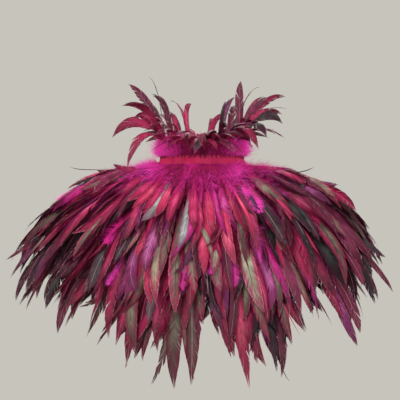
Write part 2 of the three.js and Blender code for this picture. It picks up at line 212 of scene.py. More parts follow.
def wall_reach(share):
    """The angle from the back to the wall's edge at the opening."""
    return math.pi - (NECK_OPENING + (HEM_OPENING - NECK_OPENING) * share)


NECK_REACH = wall_reach(0)


def level_ways(angle):
    """Level unit vectors round the neck, one for each angle."""
    return np.stack([np.cos(angle), np.sin(angle), np.zeros(len(angle))], 1)


# Meshes from arrays.

# Where a wall's faces lie in the atlas: each face's size, the outer and inner face's corner, and the rim.
FACE_SIZE = (0.47, 0.98)
OUTER_CORNER = (0.01, 0.01)
INNER_CORNER = (0.52, 0.01)
RIM_SIDES = (0.49, 0.505)
RIM_ENDS = (0.01, 0.99)


def make_mesh(name, verts_mm, tris, attributes, uv, material):
    """A triangle mesh object. attributes are one value a vertex, uv is one pair a corner."""
    mesh = bpy.data.meshes.new(name)
    verts = np.asarray(verts_mm, np.float32) * np.float32(MM)
    tris = np.asarray(tris, np.int32)
    mesh.vertices.add(len(verts))
    mesh.vertices.foreach_set("co", verts.ravel())
    mesh.loops.add(tris.size)
    mesh.loops.foreach_set("vertex_index", tris.ravel())
    mesh.polygons.add(len(tris))
    mesh.polygons.foreach_set("loop_start", np.arange(0, tris.size, 3, dtype=np.int32))
    mesh.update(calc_edges=True)
    mesh.polygons.foreach_set("use_smooth", np.full(len(tris), True))
    for key, values in attributes.items():
        layer = mesh.attributes.new(key, "FLOAT", "POINT")
        layer.data.foreach_set("value", np.asarray(values, np.float32).ravel())
    mesh.uv_layers.new(name="OFBake").data.foreach_set("uv", np.asarray(uv, np.float32).ravel())
    mesh.materials.append(material)
    piece = bpy.data.objects.new(name, mesh)
    bpy.context.scene.collection.objects.link(piece)
    return piece


def dress(piece, slot, *nodes):
    """Rides a piece on the cape's one body and hides the nodes that it stands for; its slot is not used."""
    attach(piece, "root")
    if nodes:
        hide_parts(*nodes)


def grid_tris(rows, columns, offset=0, flip=False):
    """Triangles over a grid of points, row by row."""
    r, c = np.meshgrid(np.arange(rows - 1), np.arange(columns - 1), indexing="ij")
    a = (r * columns + c + offset).ravel()
    quads = np.stack([a, a + columns, a + columns + 1, a + 1], 1)
    if flip:
        quads = quads[:, ::-1]
    return np.concatenate([quads[:, [0, 1, 2]], quads[:, [0, 2, 3]]])


def wall_mesh(name, outer, inner, material, attributes):
    """A closed thin wall between two grids of points of shape (rows, columns, 3)."""
    rows, columns = outer.shape[:2]
    n = rows * columns
    index = np.arange(n).reshape(rows, columns)
    rim = np.concatenate([index[0, :-1], index[:-1, -1], index[-1, :0:-1], index[:0:-1, 0]])
    following = np.roll(rim, -1)
    tris = np.concatenate([
        grid_tris(rows, columns),
        grid_tris(rows, columns, n, flip=True),
        np.stack([rim, following, following + n], 1),
        np.stack([rim, following + n, rim + n], 1),
    ])
    u, v = np.meshgrid(np.linspace(0, 1, columns), np.linspace(0, 1, rows))
    flat_uv = np.stack([u, v], -1).reshape(-1, 2)
    corner = np.concatenate([flat_uv * FACE_SIZE + OUTER_CORNER, flat_uv * FACE_SIZE + INNER_CORNER])[tris]
    sides = len(rim)
    left, right = (np.full(sides, at) for at in RIM_SIDES)
    strip = np.linspace(*RIM_ENDS, sides + 1)
    low_left, high_left = np.stack([left, strip[:-1]], 1), np.stack([left, strip[1:]], 1)
    low_right, high_right = np.stack([right, strip[:-1]], 1), np.stack([right, strip[1:]], 1)
    corner[-2 * sides : -sides] = np.stack([low_left, high_left, high_right], 1)
    corner[-sides:] = np.stack([low_left, high_right, low_right], 1)
    values = {key: np.concatenate([part.ravel(), part.ravel()]) for key, part in attributes.items()}
    verts = np.concatenate([outer.reshape(-1, 3), inner.reshape(-1, 3)])
    return make_mesh(name, verts, tris, values, corner, material)


def grid_area(points):
    """The area of a grid of points, in square metres."""
    a, b, c, d = points[:-1, :-1], points[1:, :-1], points[1:, 1:], points[:-1, 1:]
    halves = np.linalg.norm(np.cross(b - a, c - a), axis=-1) + np.linalg.norm(np.cross(c - a, d - a), axis=-1)
    return float(halves.sum() / 2 * MM * MM)


# Materials.


class Nodes:
    """A material's nodes, added one call at a time."""

    def __init__(self, name, roughness, specular=0.5, sheen=0.0, sheen_tint=(255, 255, 255)):
        self.material = bpy.data.materials.new(name)
        self.material.use_nodes = True
        self.tree = self.material.node_tree
        self.inputs = self.tree.nodes["Principled BSDF"].inputs
        self.inputs["Roughness"].default_value = roughness
        self.inputs["Specular IOR Level"].default_value = specular
        self.inputs["Sheen Weight"].default_value = sheen
        self.inputs["Sheen Tint"].default_value = srgb(sheen_tint)

    def feed(self, socket, value):
        if isinstance(value, bpy.types.NodeSocket):
            self.tree.links.new(value, socket)
        else:
            socket.default_value = value

    def node(self, kind, inputs, output=0, **settings):
        """One output of a new node, its inputs linked or given a value."""
        made = self.tree.nodes.new(kind)
        for key, value in settings.items():
            setattr(made, key, value)
        for key, value in inputs.items():
            self.feed(made.inputs[key], value)
        return made.outputs[output]

    def attribute(self, name):
        return self.node("ShaderNodeAttribute", {}, "Fac", attribute_name=name)

    def place(self):
        return self.node("ShaderNodeTexCoord", {}, "Object")

    def maths(self, operation, *values):
        return self.node("ShaderNodeMath", dict(enumerate(values)), operation=operation)

    def plus(self, first, *others):
        for other in others:
            first = self.maths("ADD", first, other)
        return first

    def times(self, first, *others):
        for other in others:
            first = self.maths("MULTIPLY", first, other)
        return first

    def smooth(self, value, low, high, to_low=0.0, to_high=1.0):
        given = {"Value": value, "From Min": low, "From Max": high, "To Min": to_low, "To Max": to_high}
        return self.node("ShaderNodeMapRange", given, "Result", interpolation_type="SMOOTHSTEP")

    def blend(self, value, stops, interpolation="LINEAR"):
        """A ramp through (position, sRGB colour) stops."""
        made = self.tree.nodes.new("ShaderNodeValToRGB")
        ramp = made.color_ramp
        ramp.interpolation = interpolation
        while len(ramp.elements) < len(stops):
            ramp.elements.new(0.5)
        for i, (position, colour) in enumerate(stops):
            ramp.elements[i].position = position
            ramp.elements[i].color = srgb(colour)
        self.feed(made.inputs[0], value)
        return made.outputs[0]

    def steps(self, value, colours):
        """One of the colours, each over an equal part of 0 to 1."""
        return self.blend(value, [(i / len(colours), colour) for i, colour in enumerate(colours)], "CONSTANT")

    def mix(self, factor, a, b):
        return self.node("ShaderNodeMix", {0: factor, 6: a, 7: b}, 2, data_type="RGBA")

    def brighten(self, colour, value):
        return self.node("ShaderNodeHueSaturation", {"Color": colour, "Value": value})

    def vector(self, x, y, z=0.0):
        return self.node("ShaderNodeCombineXYZ", {0: x, 1: y, 2: z})

    def noise(self, vector, scale=1.0, detail=2.0, roughness=0.5):
        given = {"Vector": vector, "Scale": scale, "Detail": detail, "Roughness": roughness}
        return self.node("ShaderNodeTexNoise", given, "Fac")

    def bump(self, height, strength, distance_mm):
        given = {"Height": height, "Strength": strength, "Distance": distance_mm * MM}
        self.feed(self.inputs["Normal"], self.node("ShaderNodeBump", given))

    def colour(self, value):
        self.feed(self.inputs["Base Color"], value)

    def rough(self, value):
        self.feed(self.inputs["Roughness"], value)


# Colours of parts of a feather, in sRGB: worn barbs, pale edges, and the quill from base to tip.
WORN = (84, 66, 60)
PALE_EDGE = (218, 148, 162)
QUILL_BASE = (112, 18, 50)
QUILL_TIP = (84, 18, 38)
PALE_QUILL = (206, 134, 150)
DOWNY_BASES = [(0.0, (146, 10, 76)), (0.4, (200, 18, 116)), (0.75, (170, 12, 74)), (1.0, (104, 10, 54))]


def feather_material():
    """Vane colours by kind, with streaks along the barbs, edges, a painted sheen highlight, downy base and
    quill.
    """
    m = Nodes("dyed_hackle", 0.45, specular=0.24, sheen=0.03, sheen_tint=(230, 150, 180))
    plus, times, smooth, mix = m.plus, m.times, m.smooth, m.mix
    kind, along, barb, own = (m.attribute(key) for key in ("kind", "along", "barb", "own"))
    across = m.maths("ABSOLUTE", m.attribute("across"))
    # The third colour of each kind is its painted highlight.
    centre, margin, sheen = (
        m.steps(kind, [row[key] for row in KINDS]) for key in ("centre", "edge", "sheen")
    )

    def streaks(a_millimetre, seed):
        """Noise drawn out along the barbs, other on each feather."""
        at = m.vector(times(barb, a_millimetre), times(own, seed), times(across, 0.6))
        return m.noise(at, roughness=0.6)

    def either_way(noise, amount):
        return times(m.maths("SUBTRACT", noise, 0.5), amount)

    broad, middling, fine = streaks(0.14, 57.0), streaks(0.5, 71.0), streaks(1.6, 91.0)
    edge_at = plus(across, either_way(broad, 1.1), either_way(middling, 0.7))
    vane = mix(smooth(edge_at, 0.3, 0.9), centre, margin)

    worn_at = m.vector(times(own, 83.0), times(barb, 0.09), times(across, 1.5))
    worn = smooth(m.noise(worn_at, detail=3.0, roughness=0.7), 0.5, 0.72)
    vane = mix(times(worn, smooth(middling, 0.35, 0.6), 0.6), vane, srgb(WORN))

    # Painted highlight: the kind's sheen colour, laid in blotches over the middle of the vane where light
    # would catch it.
    patch = smooth(m.noise(m.vector(times(own, 33.0), times(along, 3.2)), detail=1.0), 0.42, 0.64)
    painted_highlight = times(smooth(along, 0.3, 0.62), times(patch, smooth(across, 0.95, 0.2)))
    painted_highlight = times(painted_highlight, smooth(middling, 0.3, 0.6, 0.4, 1.0))
    vane = mix(times(painted_highlight, 0.8), vane, sheen)

    tip = times(smooth(along, 0.64, 0.98), smooth(broad, 0.25, 0.6, 0.45, 0.95))
    vane = mix(tip, vane, m.brighten(margin, 0.56))
    rim = times(smooth(across, 0.8, 0.96), smooth(own, 0.42, 0.36), smooth(middling, 0.38, 0.6))
    vane = mix(times(rim, 0.42), vane, srgb(PALE_EDGE))
    vane = mix(smooth(along, 0.44, 0.2), vane, m.blend(own, DOWNY_BASES))

    streak = plus(times(fine, 0.75), times(m.attribute("clump"), 0.34))
    streak = plus(streak, times(middling, 1.4), times(broad, 0.5))
    vane = m.brighten(vane, times(m.maths("SUBTRACT", streak, 0.5), m.attribute("tone")))

    shaft = mix(smooth(along, 0.3, 0.95), srgb(QUILL_BASE), srgb(QUILL_TIP))
    shaft = mix(times(smooth(own, 0.6, 0.7), smooth(along, 0.36, 0.6)), shaft, srgb(PALE_QUILL))
    m.colour(mix(m.attribute("quill"), vane, shaft))
    m.rough(smooth(fine, 0.2, 0.8, 0.4, 0.62))
    m.bump(middling, 0.6, 0.8)
    return m.material


DOWN_COLOURS = [
    (0.0, (252, 92, 220)), (0.3, (236, 42, 170)), (0.55, (186, 14, 104)), (0.8, (142, 10, 72)),
    (1.0, (84, 8, 46)),
]


def down_material():
    """Loose down: one colour a strand, darker at its root."""
    m = Nodes("dyed_down", 0.8, specular=0.25, sheen=0.5, sheen_tint=(255, 120, 200))
    uneven = m.smooth(m.noise(m.place(), 60.0), 0.3, 0.7, -0.15, 0.15)
    value = m.plus(m.smooth(m.attribute("along"), 0.0, 0.6, 0.75, 1.2), uneven)
    m.colour(m.brighten(m.blend(m.attribute("own"), DOWN_COLOURS), value))
    return m.material


def cloth_material(name, colour, other, threads_a_metre):
    """A woven cloth, its threads laid by how far round and how far down a point lies."""
    m = Nodes(name, 0.85, specular=0.25, sheen=0.35, sheen_tint=other)
    turns = threads_a_metre * math.tau
    weave = m.times(*(m.maths("SINE", m.times(m.attribute(key), turns)) for key in ("around", "down")))
    shade = m.mix(m.smooth(m.noise(m.place(), 35.0, 3.0), 0.3, 0.7), srgb(colour), srgb(other))
    m.colour(m.brighten(shade, m.smooth(weave, -1.0, 1.0, 0.82, 1.14)))
    m.bump(weave, 0.5, 0.25)
    return m.material


def thread_material():
    m = Nodes("sewing_thread", 0.5, specular=0.4, sheen=0.2, sheen_tint=(240, 150, 180))
    twist = m.maths("SINE", m.times(m.attribute("along"), 60.0))
    shade = m.blend(m.attribute("own"), [(0.0, (206, 56, 100)), (0.5, (192, 44, 86)), (1.0, (210, 62, 108))])
    m.colour(m.brighten(shade, m.smooth(twist, -1.0, 1.0, 0.8, 1.1)))
    m.bump(twist, 0.4, 0.1)
    return m.material


def metal_material():
    """Black enamel, worn to the metal in spots."""
    m = Nodes("black_enamel", 0.35, specular=0.6)
    worn = m.noise(m.place(), 900.0, 4.0)
    enamel = [(0.0, (20, 20, 22)), (0.62, (30, 30, 33)), (0.72, (92, 90, 88)), (1.0, (120, 118, 114))]
    m.colour(m.blend(worn, enamel))
    m.rough(m.smooth(worn, 0.4, 0.8, 0.28, 0.5))
    m.bump(worn, 0.2, 0.05)
    return m.material


feather_look = feather_material()
down_look = down_material()
yoke_look = cloth_material("ground_cloth", (74, 12, 38), (104, 20, 56), 900)
stand_look = cloth_material("collar_cloth", (120, 14, 56), (150, 24, 70), 900)
tape_look = cloth_material("binding_tape", (206, 36, 92), (222, 60, 112), 1400)
thread_look = thread_material()
metal_look = metal_material()


# Feathers.

# A vane's half width along it, as a share of the widest.
HALF_WIDTH = {
    "along": [0.0, 0.1, 0.25, 0.45, 0.6, 0.75, 0.87, 0.95, 1.0, 1.06],
    "share": [0.16, 0.48, 0.8, 0.97, 1.0, 0.9, 0.68, 0.42, 0.2, 0.03],
}
CLUMPS = 26
VANE_TO = 0.965
LONGEST_BARB = 1.1

# A clump of barbs: how far it sweeps forward, its stops from the quill outwards, and how it strays along
# the quill, in reach and out of the vane, with more of each where it has split from its neighbours.
BARB_SWEEP = 0.115
BARB_STOPS = (0.0, 0.52, 1.0)
SLIP, SPLIT_SLIP = 0.002, 0.03
REACH, SPLIT_SHORT = (0.965, 1.03), 0.16
LIFT, SPLIT_LIFT = 0.22, 1.2
PINCH, SPLIT_PINCH = 0.03, 0.2

# A quill: its stops along the feather, its ridge lines (across, out), and the width that its size is for.
QUILL_STOPS = np.array([0.0, 0.08, 0.2, 0.34, 0.48, 0.62, 0.76, 0.88, 0.97])
QUILL_RIDGES = [(-1, 0), (0, 0.9), (1, 0), (0, -0.7)]
QUILL_FINE = 0.14
QUILL_THICK = 0.62
QUILL_FOR_WIDTH = 20

# A strand of down: its stops, its half width at each, its vertices' places across the atlas, its triangles.
STRAND_STOPS = np.array([0.0, 0.36, 0.7, 1.0])
STRAND_HALF_WIDTHS = np.array([0.5, 0.42, 0.28, 0.0])
STRAND_SIDES = np.array([-1.0, 1, -0.84, 0.84, -0.56, 0.56, 0])
STRAND_TRIS = np.array([[0, 1, 3], [0, 3, 2], [2, 3, 5], [2, 5, 4], [4, 5, 6]])
STRAND_WIDTHS = (0.7, 1.2)

# A strand by chance: its lean aside from a quill, its curl for its length, its shade and where it faces. On
# a quill it is shorter further along, and curls forward. A loose one strays aside.
LEAN_ASIDE = (0.5, 1.2)
CURL_ON_QUILL, CURL_LOOSE = (0.25, 0.75), (0.2, 0.7)
SHADE_ON_QUILL, SHADE_LOOSE = 0.12, 0.13
FACING_CHANCE = 0.35
SHORTER_ALONG = 0.3
CURL_FORWARD = 0.2
LOOSE_ASIDE = 0.45

# A feather waves sideways by this many radians along it, and more so towards its tip, hooks from a place
# on, and twists about a place.
WAVE_TURN = 5.2
WAVE_GROWS = 1.6
HOOK_FROM = 0.5
TWIST_ABOUT = 0.3

# An atlas cell's height for its width, and the bare edge left at each side and at each end.
CELL_HEIGHT = 8
CELL_SIDE = 0.06
CELL_END = 0.02

# How finely a ring's and a feather's length are measured.
RING_STEPS = 1441
LENGTH_STEPS = 17


def over(values, shape):
    """One value a feather or strand, spread over a shape whose first axis counts them."""
    return np.broadcast_to(np.reshape(values, [-1] + [1] * (len(shape) - 1)), shape)


def curve_at(control, s):
    """Points and unit tangents of cubic curves of shape (F, 4, 3) at s of shape (F, ...)."""
    flat = s.reshape(s.shape[0], -1)[..., None]
    p0, p1, p2, p3 = (control[:, i][:, None] for i in range(4))
    r = 1 - flat
    point = r**3 * p0 + 3 * flat * r**2 * p1 + 3 * flat**2 * r * p2 + flat**3 * p3
    slope = r**2 * (p1 - p0) + 2 * flat * r * (p2 - p1) + flat**2 * (p3 - p2)
    return point.reshape(*s.shape, 3), unit(slope).reshape(*s.shape, 3)


def frame_at(feathers, s):
    """Points, across vectors, outer-face vectors and forward vectors of the feathers at s."""
    point, forward = curve_at(feathers["control"], s)
    level = feathers["level"].reshape(-1, *([1] * (s.ndim - 1)), 3)
    across = unit(level - (level * forward).sum(-1, keepdims=True) * forward)
    outward = np.cross(forward, across)
    late = (np.clip(s - HOOK_FROM, 0, 1) / (1 - HOOK_FROM)) ** 2
    bow = np.sin(s * WAVE_TURN + over(feathers["phase"], s.shape)) * np.clip(s * WAVE_GROWS, 0, 1)
    point = point + (over(feathers["hook_across"], s.shape) * late)[..., None] * across
    point = point + (over(feathers["wave"], s.shape) * bow)[..., None] * across
    point = point + (over(feathers["hook_out"], s.shape) * late)[..., None] * outward
    roll = over(feathers["roll"], s.shape) + over(feathers["twist"], s.shape) * (s - TWIST_ABOUT)
    c, n = np.cos(roll)[..., None], np.sin(roll)[..., None]
    return point, c * across + n * outward, c * outward - n * across, forward


def cell_uv(count, along, across, index):
    """Atlas places for tall cells in a grid."""
    columns = max(1, math.ceil(math.sqrt(count * CELL_HEIGHT)))
    rows = math.ceil(count / columns)
    column, row = index % columns, index // columns
    u = (column + CELL_SIDE + (1 - 2 * CELL_SIDE) * (0.5 + 0.5 * np.clip(across, -1, 1))) / columns
    v = (row + CELL_END + (1 - 2 * CELL_END) * np.clip(along, 0, 1)) / rows
    return np.stack([u, v], -1)


def clump_arrays(feathers, rng):
    """Vertices, triangles, values and atlas places of the vanes: clumps of barbs beside each quill."""
    count = len(feathers["width"])
    clumps = (count, 2, CLUMPS)
    first = over(feathers["vane_from"], clumps)
    starts = np.arange(CLUMPS + 1) / CLUMPS
    low = first + (VANE_TO - first) * np.broadcast_to(starts[:-1], clumps)
    high = first + (VANE_TO - first) * np.broadcast_to(starts[1:], clumps)
    sweep = BARB_SWEEP * (1.1 - 0.45 * low)
    split = rng.random(clumps) < over(feathers["ragged"], clumps)
    slip = rng.normal(0, SLIP, clumps) + np.where(split, rng.uniform(-SPLIT_SLIP, SPLIT_SLIP, clumps), 0)
    reach = rng.uniform(*REACH, clumps) - np.where(split, rng.uniform(0, SPLIT_SHORT, clumps), 0)
    lift = rng.normal(0, LIFT, clumps) + np.where(split, rng.normal(0, SPLIT_LIFT, clumps), 0)
    narrow = (high - low) * np.where(split, SPLIT_PINCH, PINCH)
    places, roots = [], []
    for v in BARB_STOPS:
        for edge, pinch in ((low, narrow), (high, -narrow)):
            places.append(edge + pinch * v + sweep * v + slip * v**2)
            roots.append(edge)
    s, root = np.stack(places, -1), np.stack(roots, -1)
    v = np.repeat(BARB_STOPS, 2)
    edge_at = (root + sweep[..., None] - first[..., None]) / (1 - first[..., None])
    half = feathers["width"][:, None, None] / 2 * feathers["lopsided"][:, :, None]
    wide = half[..., None] * np.interp(edge_at, HALF_WIDTH["along"], HALF_WIDTH["share"]) * reach[..., None]
    lateral = v * wide
    droop = over(feathers["camber"], s.shape) * lateral**2 / (over(feathers["width"], s.shape) / 2)
    rise = lift[..., None] * v - droop
    side = np.array([-1.0, 1.0])[None, :, None, None]
    point, across, outward, _ = frame_at(feathers, s)
    verts = point + (side * lateral)[..., None] * across + rise[..., None] * outward

    base = (np.arange(count * 2 * CLUMPS) * len(v))[:, None, None]
    pattern = np.array([[0, 2, 3], [0, 3, 1], [2, 4, 5], [2, 5, 3]])
    tris = (base + pattern[None]).reshape(*clumps, len(pattern), 3)
    tris[:, 1] = tris[:, 1, :, :, ::-1]
    values = {
        "along": s,
        "across": np.broadcast_to(side * v, s.shape),
        "barb": root * over(feathers["length"], s.shape),
        "own": over(feathers["own"], s.shape),
        "clump": np.broadcast_to(rng.random((*clumps, 1)), s.shape),
        "kind": over(feathers["kind"], s.shape),
        "tone": over(feathers["tone"], s.shape),
        "quill": np.zeros(s.shape),
    }
    uv = cell_uv(count, s / LONGEST_BARB, values["across"], over(np.arange(count), s.shape))
    return verts, tris, values, uv


def quill_arrays(feathers):
    """The same of the quills: low ridges along the middle of each feather, outside and inside."""
    count, stops, ridges = len(feathers["width"]), len(QUILL_STOPS), len(QUILL_RIDGES)
    s = np.broadcast_to(QUILL_STOPS, (count, stops))
    point, across, outward, _ = frame_at(feathers, s)
    thick = (QUILL_FINE + QUILL_THICK * (1 - s) ** 1.2) * (feathers["width"][:, None] / QUILL_FOR_WIDTH)
    lines = [
        point + (thick * x)[..., None] * across + (thick * z)[..., None] * outward for x, z in QUILL_RIDGES
    ]
    verts = np.stack(lines, 2)
    base = (np.arange(count)[:, None] * stops + np.arange(stops - 1)).reshape(-1, 1) * ridges
    tris = []
    for a in range(ridges):
        b = (a + 1) % ridges
        tris.append(base + np.array([a, a + ridges, b + ridges]))
        tris.append(base + np.array([a, b + ridges, b]))
    shape = verts.shape[:3]
    values = {key: np.zeros(shape) for key in ("across", "barb", "clump")}
    values["along"] = np.broadcast_to(s[..., None], shape)
    values["quill"] = np.ones(shape)
    for key in ("own", "kind", "tone"):
        values[key] = over(feathers[key], shape)
    side = np.broadcast_to(np.array([x for x, _ in QUILL_RIDGES]) * 0.03, shape)
    uv = cell_uv(count, values["along"] / LONGEST_BARB, side, over(np.arange(count), shape))
    return verts, np.concatenate(tris), values, uv


def feather_piece(name, feathers, rng):
    """One mesh of all the vanes and quills of a set of feathers."""
    verts, tris, values, uv = clump_arrays(feathers, rng)
    verts = verts.reshape(-1, 3)
    quill_verts, quill_tris, quill_values, quill_uv = quill_arrays(feathers)
    tris = np.concatenate([tris.reshape(-1, 3), quill_tris + len(verts)])
    values = {key: np.concatenate([values[key].ravel(), quill_values[key].ravel()]) for key in values}
    uv = np.concatenate([uv.reshape(-1, 2), quill_uv.reshape(-1, 2)])[tris]
    verts = np.concatenate([verts, quill_verts.reshape(-1, 3)])
    return make_mesh(name, verts, tris, values, uv, feather_look)


def strand_arrays(root, direction, curl, facing, length, width, own):
    """Down strands: thin tapering strips from root points, bent along curl, flat towards facing."""
    count = len(root)
    reach = (length[:, None] * STRAND_STOPS)[..., None]
    bend = curl[:, None] * (STRAND_STOPS**2)[None, :, None]
    spine = root[:, None] + direction[:, None] * reach + bend
    half = (width[:, None] * STRAND_HALF_WIDTHS[None])[..., None]
    aside = unit(np.cross(direction, facing))[:, None] * half
    edges = np.stack([(spine - aside)[:, :3], (spine + aside)[:, :3]], 2).reshape(count, 6, 3)
    verts = np.concatenate([edges, spine[:, 3:]], 1)
    shape = (count, len(STRAND_SIDES))
    tris = (np.arange(count)[:, None, None] * shape[1] + STRAND_TRIS[None]).reshape(-1, 3)
    along = np.broadcast_to(np.append(np.repeat(STRAND_STOPS[:3], 2), 1.0), shape)
    uv = cell_uv(count, along, np.broadcast_to(STRAND_SIDES, shape), over(np.arange(count), shape))
    return verts.reshape(-1, 3), tris, {"along": along, "own": over(own, shape)}, uv.reshape(-1, 2)[tris]


def down_of(feathers, each, span, width, rng, lengths, spread=0.6, ahead=(0.35, 1.3), oval=0.0):
    """Strands from part of each feather's quill, to both sides and out of its plane, in an oval or not."""
    count = len(feathers["width"])
    s = rng.uniform(span[0], span[1], (count, each))
    point, across, outward, forward = frame_at(feathers, s)
    side = (rng.choice([-1.0, 1.0], s.shape) * rng.uniform(*LEAN_ASIDE, s.shape))[..., None]
    tilt = rng.normal(0, spread, s.shape)[..., None]
    lean = rng.uniform(*ahead, s.shape)[..., None]
    direction = unit(side * across + tilt * outward + lean * forward).reshape(-1, 3)
    length = rng.uniform(*lengths, s.size) * (1 - SHORTER_ALONG * s.ravel())
    length *= 1 - oval + oval * np.sin(math.pi * (s.ravel() - span[0]) / (span[1] - span[0]))
    curl = unit(rng.normal(0, 1, (s.size, 3))) * (length * rng.uniform(*CURL_ON_QUILL, s.size))[:, None]
    curl = curl + forward.reshape(-1, 3) * (length * CURL_FORWARD)[:, None]
    own = np.clip(feathers["down"][:, None] + rng.normal(0, SHADE_ON_QUILL, s.shape), 0, 1).ravel()
    widths = rng.uniform(*STRAND_WIDTHS, s.size) * width
    facing = outward.reshape(-1, 3) + rng.normal(0, FACING_CHANCE, (s.size, 3))
    return strand_arrays(point.reshape(-1, 3), direction, curl, facing, length, widths, own)


def loose_down(on, angle, place, step, lift, own, width, rng, lengths, stand, ahead):
    """Strands that grow straight from a surface, leaning along the way that its places run."""
    count = len(angle)
    root = on(angle, place, lift)
    forward = unit(on(angle, place + step, lift) - root)
    outward = unit(on(angle, place, lift + 1.0) - root)
    across = np.cross(forward, outward)
    lean = rng.uniform(*ahead, count)[:, None]
    rise = np.abs(rng.normal(0, stand, count))[:, None]
    aside = rng.normal(0, LOOSE_ASIDE, count)[:, None]
    direction = unit(lean * forward + rise * outward + aside * across)
    length = rng.uniform(*lengths, count)
    curl = unit(rng.normal(0, 1, (count, 3))) * (length * rng.uniform(*CURL_LOOSE, count))[:, None]
    shade = np.clip(own + rng.normal(0, SHADE_LOOSE, count), 0, 1)
    facing = outward + rng.normal(0, FACING_CHANCE, (count, 3))
    widths = rng.uniform(*STRAND_WIDTHS, count) * width
    return strand_arrays(root, direction, curl, facing, length, widths, shade)


def strand_piece(name, parts):
    """One mesh from several sets of strands, each set with its own part of the atlas."""
    sizes = np.array([len(part[0]) for part in parts])
    offsets = np.concatenate([[0], np.cumsum(sizes)])
    verts = np.concatenate([part[0] for part in parts])
    tris = np.concatenate([part[1] + offset for part, offset in zip(parts, offsets)])
    values = {key: np.concatenate([np.ravel(part[2][key]) for part in parts]) for key in ("along", "own")}
    uv = np.concatenate([
        part[3] * (size / len(verts), 1) + (offset / len(verts), 0)
        for part, size, offset in zip(parts, sizes, offsets)
    ])
    return make_mesh(name, verts, tris, values, uv, down_look)


def pick_kinds(angle, level, rng):
    """A kind for each feather: darker over the shoulders and low down, brighter near the neck."""
    outer = np.clip((np.abs(np.sin(angle)) - 0.25) / 0.6, 0, 1)
    top = np.clip(1 - level, 0, 1)
    left = np.clip(0.3 - np.sin(angle), 0, 1)
    fewer_left = 1 - 0.85 * top * (left > 0.1) - 0.3 * left * (1 - top)
    more = {
        "crimson": [1 + 1.2 * top],
        "magenta": [1 + 3.0 * top],
        "dark": [1 - 0.5 * top, fewer_left, 1 + 0.5 * np.clip(np.sin(angle), 0, 1)],
        "furnace": [1 - 0.6 * top, fewer_left],
        "olive": [fewer_left],
        "silver": [(1 - 0.5 * top) * (outer < 0.5)],
        "burgundy": [1 + 0.5 * left],
        "purple": [1 + 0.6 * left],
    }
    odds = np.stack([a + (b - a) * outer for a, b in (kind["odds"] for kind in KINDS)], 1)
    for name, factors in more.items():
        for factor in factors:
            odds[:, KIND_NAMES.index(name)] *= factor
    total = np.cumsum(odds / odds.sum(1, keepdims=True), axis=1)
    chosen = (rng.random((len(angle), 1)) > total).sum(1)
    return kind_values([KIND_NAMES[i] for i in chosen])


def row_value(name, level):
    return np.interp(level, range(4), ROWS[name])


def row_place(name, level):
    """How far out and how far up a row's bend or tip lies."""
    return [np.interp(level, range(4), [row[part] for row in ROWS[name]]) for part in (0, 1)]


def row_curves(angle, level):
    """Root, bend and tip of feathers at angles round the neck, in row 0 to 3 or between."""
    root = on_yoke(angle, row_value("share", level), SEAM_GAP + HEADING_WALL / 2)
    bend, tip = (
        ring_point(angle, *(row_place(f"{side}_{end}", level) for side in ("side", "back", "front")))
        for end in ("bend", "tip")
    )
    return root, bend, tip


def even_angles(count, side_out, depth_out, reach):
    """Angles that part a ring evenly by its length."""
    angle = np.linspace(-reach, reach, RING_STEPS)
    speed = np.hypot(side_out * np.cos(angle), depth_out * np.sin(angle))
    length = np.concatenate([[0], np.cumsum((speed[1:] + speed[:-1]) / 2)])
    return np.interp((np.arange(count) + 0.5) / count * length[-1], length, angle)


def as_feathers(control, level, rng, **given):
    """A set of feathers from their curves and level ways, with what isn't given drawn for each."""
    count = len(control)
    point, _ = curve_at(control, np.broadcast_to(np.linspace(0, 1, LENGTH_STEPS), (count, LENGTH_STEPS)))
    made = {
        "control": control,
        "level": level,
        "length": np.linalg.norm(np.diff(point, axis=1), axis=-1).sum(1),
        "width": rng.uniform(17, 25, count),
        "roll": rng.normal(0, 0.45, count),
        "twist": rng.normal(0, 0.7, count),
        "wave": rng.uniform(0.5, 3.4, count),
        "phase": rng.uniform(0, math.tau, count),
        "camber": rng.uniform(0.1, 0.4, count),
        "hook_across": rng.normal(0, 7, count),
        "hook_out": rng.normal(-1, 5, count),
        "ragged": rng.choice([0.03, 0.09, 0.25], count, p=[0.55, 0.33, 0.12]),
        "vane_from": rng.uniform(0.1, 0.2, count),
        "lopsided": np.stack([rng.uniform(0.85, 1.1, count), rng.uniform(0.85, 1.1, count)], 1),
        "own": rng.random(count),
        "tone": rng.uniform(0.55, 1.3, count),
        "down": rng.random(count),
    }
    made.update(given)
    return made


def joined(sets):
    return {key: np.concatenate([s[key] for s in sets]) for key in sets[0]}


# A share of each ring's feathers stray this much further sideways than the others.
STRAY_SHARE = 0.16
STRAY_SWAY = 2.3
STRAY_SEED = 20
SWAY = 18

# Rings past the first of these levels are the hem's, and rings short of the second are the neck's.
HEM_RINGS_FROM = 2.6
NECK_RINGS_TO = 0.7

# A ring stops short of the opening by this angle, and its feathers shift by shares of a gap and of a row.
RING_GAP = 0.05
RING_SHIFT = 0.45
LEVEL_SHIFT = 0.08

# How much further a tip reaches by chance, as a share. At the hem some feathers are long and most short.
TIP_CHANCE = (-0.26, 0.03)
HEM_LONG_SHARE = 0.3
HEM_LONG = (-0.12, 0.02)
HEM_SHORT = (-0.5, -0.12)
PARTING_FROM, PARTING_DEPTH = 1.7, 0.3

# A feather's bend sways and curls by these shares of what its tip does, and by chance.
BEND_SWAY, BEND_CURL = 0.3, 0.3
BEND_CHANCE = 5
CURL = 16

# How far a feather stands off, how much of that its bend takes, and how far its end droops over a shoulder.
STAND_OFF = (-9, 5)
STAND_CHANCE = 4
STAND_AT_BEND = 0.6
PRESS, PRESS_TO = 13, 1.6
SHOULDER_DROOP = 11

# The neck's rings: their bare quills and widths, and how much more they hook, wave and part.
NECK_VANE_FROM = (0.18, 0.36)
NECK_WIDTH = (13, 20)
NECK_HOOK, NECK_WAVE, NECK_RAGGED = 2.0, 1.6, 0.2


